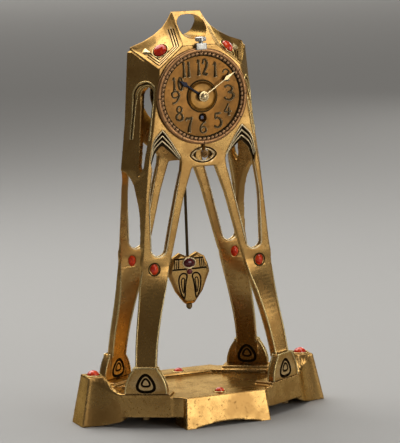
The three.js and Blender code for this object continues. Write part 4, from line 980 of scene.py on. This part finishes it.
# edge, the drop and the relief size the pale copy under the numerals, a painted highlight on their lower
# right edges
numeral = dict(wide=0.86, tall=0.92, weight=0.064, relief=0.7, edge=0.1, highlightDrop=0.3, highlightRelief=0.35)
strokes = {  # x, z and width
    "0": [[(0, .5, .8), (.3, .3, 1.1), (.36, -.08, 1.3), (.2, -.42, 1.1), (0, -.5, .8), (-.26, -.36, 1.1),
           (-.36, 0, 1.3), (-.24, .36, 1.1), (0, .5, .8)]],
    "1": [[(-.3, .28, .5), (-.1, .44, .9), (.02, .5, .9)],
          [(.02, .5, .9), (0, .1, 1.0), (.0, -.28, 1.4), (.03, -.5, 1.9)]],
    "2": [[(-.4, .22, 1.2), (-.28, .44, .8), (.08, .5, .9), (.36, .28, 1.3), (.18, -.02, 1.2),
           (-.16, -.26, 1.0), (-.42, -.48, 1.0)],
          [(-.42, -.48, 1.0), (-.1, -.42, 1.3), (.16, -.48, 1.3), (.44, -.4, .8)]],
    "3": [[(-.38, .4, 1.2), (-.05, .5, .8), (.3, .34, 1.2), (.2, .1, 1.0), (-.1, .03, .7)],
          [(-.1, .03, .7), (.3, -.04, 1.2), (.42, -.26, 1.4), (.1, -.5, 1.0), (-.3, -.42, .9),
           (-.4, -.3, 1.2)]],
    "4": [[(.12, .5, 1.0), (-.18, .12, .9), (-.44, -.16, .9)],
          [(-.44, -.16, .9), (0, -.2, 1.1), (.46, -.14, .9)],
          [(.16, .16, .9), (.15, -.2, 1.3), (.12, -.5, 1.8)]],
    "5": [[(.36, .5, .9), (.05, .45, 1.2), (-.24, .47, .9)],
          [(-.24, .47, .9), (-.3, .1, .8)],
          [(-.3, .1, .8), (.05, .15, 1.0), (.38, -.06, 1.4), (.3, -.38, 1.3), (-.05, -.5, .9),
           (-.38, -.4, 1.3)]],
    "6": [[(.3, .46, 1.0), (-.08, .3, .9), (-.34, -.05, 1.3), (-.3, -.38, 1.2), (0, -.5, .9),
           (.32, -.34, 1.3), (.26, -.06, 1.0), (-.02, .02, .8), (-.3, -.14, .7)]],
    "7": [[(-.42, .3, .8), (-.3, .46, .9), (.02, .42, 1.1), (.42, .5, .8)],
          [(.42, .5, .8), (.14, .1, 1.0), (0, -.2, 1.4), (-.05, -.5, 1.9)]],
    "8": [[(0, .04, .9), (-.27, .2, 1.1), (-.2, .44, .9), (.06, .5, .8), (.27, .36, 1.1), (.2, .14, .9),
           (0, .04, .9)],
          [(0, .04, .9), (.33, -.14, 1.2), (.33, -.4, 1.2), (0, -.5, .9), (-.34, -.38, 1.3),
           (-.34, -.14, 1.1), (0, .04, .9)]],
    "9": [[(-.3, -.46, 1.2), (.08, -.34, .9), (.34, .05, 1.3), (.3, .38, 1.2), (0, .5, .9),
           (-.32, .34, 1.3), (-.26, .06, 1.0), (.02, -.02, .8), (.3, .14, .7)]],
}
# text, x, z, height and width of each numeral
hours = [("12", 0.8, 27.0, 15.8, 12.7), ("1", 14.1, 24.2, 15.2, 7.5), ("2", 24.8, 18.4, 11.4, 9.0),
         ("3", 27.2, 1.7, 14.9, 12.6), ("4", 25.4, -14.2, 12.4, 9.4), ("5", 14.9, -23.4, 14.9, 10.4),
         ("6", 0.2, -29.0, 11.6, 9.6), ("7", -13.8, -26.1, 15.2, 9.0), ("8", -23.2, -14.8, 14.2, 9.4),
         ("9", -26.6, 0.4, 12.6, 11.6), ("10", -24.2, 13.0, 13.2, 12.6), ("11", -14.8, 25.8, 15.6, 9.8)]


def numeralLines(grow, drop):
    lines = []
    for text, x, z, height, width in hours:
        share = width / len(text)
        for order, digit in enumerate(text):
            left = x + (order - (len(text) - 1) / 2) * share
            for run in strokes[digit]:
                points = curveThrough([(px, pw, pz) for px, pz, pw in run], 7)
                spots = [Vector((left + p.x * share * numeral["wide"] + drop, 0,
                                 z + p.z * height * numeral["tall"] - drop)) for p in points]
                widths = [numeral["weight"] * height * p.y + grow for p in points]
                lines.append(([dialSpot + spot * mm for spot in spots], False, widths))
    return lines


# the pale copy, a little wider and set down and to the right under the dark numerals, is a painted highlight
# on their lower right edges
for label, grow, drop, share, finish in (
        ("numeralHighlights", numeral["edge"], numeral["highlightDrop"], numeral["highlightRelief"], paleHighlightBronze),
        ("numerals", 0.0, 0.0, numeral["relief"], numeralDark)):
    made = sweptLines(label, numeralLines(grow, drop), 1.0 * mm, finish)
    flattened(made, dialSpot.y, share)
    settle(made, "case")
print("dial done")


# hands, nut, clip and stud

hand = dict(voxel=0.28 * mm, rounds=2, angle=50, nutY=-40.3)
addFitting("hourPointer", "hour_hand", hand, "hour_work", blueSteel)
addFitting("minutePointer", "minute_hand", hand, "hands", paleGold)

nutProfile = [(0, 3.0), (1.2, 2.95), (2.4, 2.5), (3.1, 1.8), (3.4, 1.1), (3.5, 0.7), (4.6, 0.55), (4.9, 0.2),
              (4.9, 0.0), (0, 0.0)]
nut = turned("handNut", nutProfile, Vector((0, hand["nutY"], dial["centre"])) * mm, outward, segments=48)
place(nut, "hands", paleGold, ("hand_nut",))

clip = dict(voxel=0.4 * mm, rounds=3, angle=50, y=-36.7, foot=356.5, middle=360.25, knurls=14,
            knurlRadius=4.75, knurl=(1.1, 1.2, 3.6))
addFitting("clipTab", "dial_clip", clip, "case", steel)
thumbProfile = [(0, -1.0), (2.0, -1.0), (2.0, 1.5), (4.4, 1.6), (4.9, 2.0), (4.9, 5.1), (4.3, 5.7),
                (2.4, 5.9), (1.9, 5.4), (0, 5.3)]
thumbSpot = Vector((0, clip["y"], clip["foot"])) * mm
thumbHead = turned("clipThumb", thumbProfile, thumbSpot, (0, 0, 1), segments=40)
place(thumbHead, "case", steel, ("clip_screw",))
knurl = marksRound("clipKnurl", clip["knurls"], clip["knurlRadius"] * mm, Vector(clip["knurl"]) * mm,
                   Vector((0, clip["y"], clip["middle"])) * mm, steel, (0, 0, 0))
settle(knurl, "case")

lowerStud = dict(voxel=0.4 * mm, rounds=3, angle=60, centre=(0, -35.7, 252.5), radius=3.35,
                 wire=0.55 * mm, turns=3.2, count=90, tilt=(0.12, 1.47), thin=0.5)


def studSpiral():  # wound from the front of the ball outwards
    run, widths = [], []
    first, last = lowerStud["tilt"]
    for i in range(lowerStud["count"]):
        share = i / (lowerStud["count"] - 1)
        tilt = first + (last - first) * share
        turn = 2 * math.pi * lowerStud["turns"] * share
        spot = Vector((math.sin(tilt) * math.cos(turn), -math.cos(tilt), math.sin(tilt) * math.sin(turn)))
        run.append(Vector(lowerStud["centre"]) * mm + spot * (lowerStud["radius"] * mm))
        widths.append(lowerStud["thin"] + (1 - lowerStud["thin"]) * share)
    return run, False, widths


addFitting("lowerStudCast", "lower_stud", lowerStud, "case", dialBronze)
addTrim("studSpiral", [studSpiral()], lowerStud["wire"], bronze)
print("fittings done")


# pendulum bob: bands and leaf grooves on both faces, two stones on the front

bob = dict(top=152.0, height=50.0, faces=((14.0, 1), (22.0, -1)), voxel=0.55 * mm, rounds=5, angle=65,
           groove=0.85 * mm, fine=0.6 * mm, reach=6 * mm, bands=((.115, 15.4), (.315, 17.6)),
           bars=(10.6, 12.6, 14.6), barLean=0.6, barEnds=(.13, .30), leafInside=(0.4, 0.6))
bobPiece = softened("bobCasting", ("bob",), bob["voxel"], bob["rounds"])
bobSkin = surfaceOf(bobPiece)
leaf = [(2.8, .45), (5.0, .40), (8.6, .41), (11.0, .48), (11.2, .60), (10.0, .73), (8.0, .84), (6.4, .88),
        (5.4, .82), (4.9, .68), (3.9, .55)]  # x and the share of the bob's height below its top


def bobLine(points, closed, y, along):
    spots = [Vector((x, y, bob["top"] - share * bob["height"])) for x, share in points]
    return drape(bobSkin, [p * mm for p in spots], (0, along, 0), 0.0, bob["reach"]), closed


def bobLines():
    wide, fine = [], []
    high, low = bob["barEnds"]
    for y, along in bob["faces"]:
        for share, half in bob["bands"]:
            wide.append(bobLine([(-half + 2 * half * i / 20, share) for i in range(21)], False, y, along))
        for sx in (-1, 1):
            for x in bob["bars"]:
                run = [(sx * (x + bob["barLean"] * i / 8), high + (low - high) * i / 8) for i in range(9)]
                fine.append(bobLine(run, False, y, along))
            outer = [(p.x, p.y) for p in curveThrough([(sx * x, share, 0) for x, share in leaf], 6, True)]
            mx, mz = (sum(p[k] for p in outer) / len(outer) for k in (0, 1))
            across, down = bob["leafInside"]
            inner = [(mx + (x - mx) * across, mz + (share - mz) * down) for x, share in outer]
            wide.append(bobLine(outer, True, y, along))
            fine.append(bobLine(inner, True, y, along))
    return wide, fine


# the bob's grooves are lined with painted shade
cutters = [sweptLines("cutter", lines, width, paintedShade)
           for lines, width in zip(bobLines(), (bob["groove"], bob["fine"]))]
carve(bobPiece, cutters, castBrass, [paintedShade], bob["angle"])
settle(bobPiece, "weight", ("bob",))

bobStones = dict(voxel=0.4 * mm, rounds=4, angle=60, large=(142.0, 6.4, 4.9), largeRim=0.7 * mm,
                 small=(133.6, 3.1, 3.1), smallRim=0.5 * mm,
                 dome=[(0, 1.5), (0.9, 1.42), (1.8, 1.1), (2.5, 0.6), (2.8, 0.0), (2.8, -0.6), (0, -0.6)])
addFitting("bobGarnet", "bob_jewel", bobStones, "weight", darkStone)


def bobOval(z, half, rise):  # on the front face
    y, along = bob["faces"][0]
    spots = [Vector((half * math.cos(t), y, z + rise * math.sin(t))) * mm for t in fullTurn(36)]
    return drape(bobSkin, spots, (0, along, 0), 0.0, bob["reach"]), True


addTrim("bobBezel", [bobOval(*bobStones["large"])], bobStones["largeRim"], paleGold, "weight")
smallSpot = Vector((0, bob["faces"][0][0], bobStones["small"][0])) * mm
place(turned("bobSmallStone", bobStones["dome"], smallSpot, outward, 32), "weight",
      darkStone)
addTrim("bobSmallBezel", [bobOval(*bobStones["small"])], bobStones["smallRim"], castBrass,
        "weight")
print("bob done")


# stage: pale floor, soft studio light

stage = dict(half=40, floor=(0.38, 0.38, 0.375), roughness=0.8, sky=(0.46, 0.42, 0.37), skyStrength=0.26)


def addStage():
    half = stage["half"]
    square = [(-half, -half, 0), (half, -half, 0), (half, half, 0), (-half, half, 0)]
    mesh = meshFrom("floor", square, [(0, 1, 2, 3)])
    floor = newObject("floor", mesh)
    mat, _, shader = newMaterial("paleFloor")
    shader.inputs["Base Color"].default_value = (*stage["floor"], 1)
    shader.inputs["Roughness"].default_value = stage["roughness"]
    mesh.materials.append(mat)
    world = bpy.data.worlds.new("studio")
    bpy.context.scene.world = world
    world.use_nodes = True
    sky = world.node_tree.nodes["Background"].inputs
    sky["Color"].default_value = (*stage["sky"], 1)
    sky["Strength"].default_value = stage["skyStrength"]


def newLamp(name, kind, power, tint):
    data = bpy.data.lights.new(name, kind)
    data.energy = power
    data.color = tint
    lamp = bpy.data.objects.new(name, data)
    bpy.context.collection.objects.link(lamp)
    return lamp


def addLamp(name, spot, aim, size, power, tint):  # a softbox that the camera doesn't see
    lamp = newLamp(name, "AREA", power, tint)
    lamp.data.shape = "RECTANGLE"
    lamp.data.size, lamp.data.size_y = size
    lamp.visible_camera = False
    away = Vector(spot) - Vector(aim)
    lamp.matrix_world = Matrix.Translation(Vector(spot)) @ away.to_track_quat("Z", "Y").to_matrix().to_4x4()


def addSun(name, away, power, spread, tint):  # an even light that reaches the far floor
    lamp = newLamp(name, "SUN", power, tint)
    lamp.data.angle = math.radians(spread)
    lamp.matrix_world = Vector(away).to_track_quat("Z", "Y").to_matrix().to_4x4()


addStage()
warm, white = (1.0, 0.97, 0.92), (1.0, 0.98, 0.95)
addLamp("keyLight", (0.68, -1.72, 0.50), (0, 0, 0.17), (0.8, 0.8), 7, warm)
addLamp("topLight", (-0.30, 0.95, 1.5), (0, 0, 0.25), (1.6, 1.6), 24, white)
addLamp("overLight", (0.45, -0.15, 1.7), (0, 0, 0.3), (1.0, 0.8), 8, white)
addLamp("rightLight", (1.6, -0.4, 0.7), (0, 0, 0.2), (0.4, 0.9), 4.5, (1.0, 0.95, 0.88))
addLamp("backLight", (3.0, 7.6, 1.4), (0, 0, 0.1), (4.4, 2.2), 34, warm)
addSun("skyLight", (-0.10, 0.55, 0.80), 0.6, 60, white)
addLamp("sideLight", (2.1, 1.95, 0.95), (0, 0, 0.3), (1.3, 0.9), 8, warm)
scene = bpy.context.scene
scene.view_settings.view_transform = "Standard"
print("stage lit")
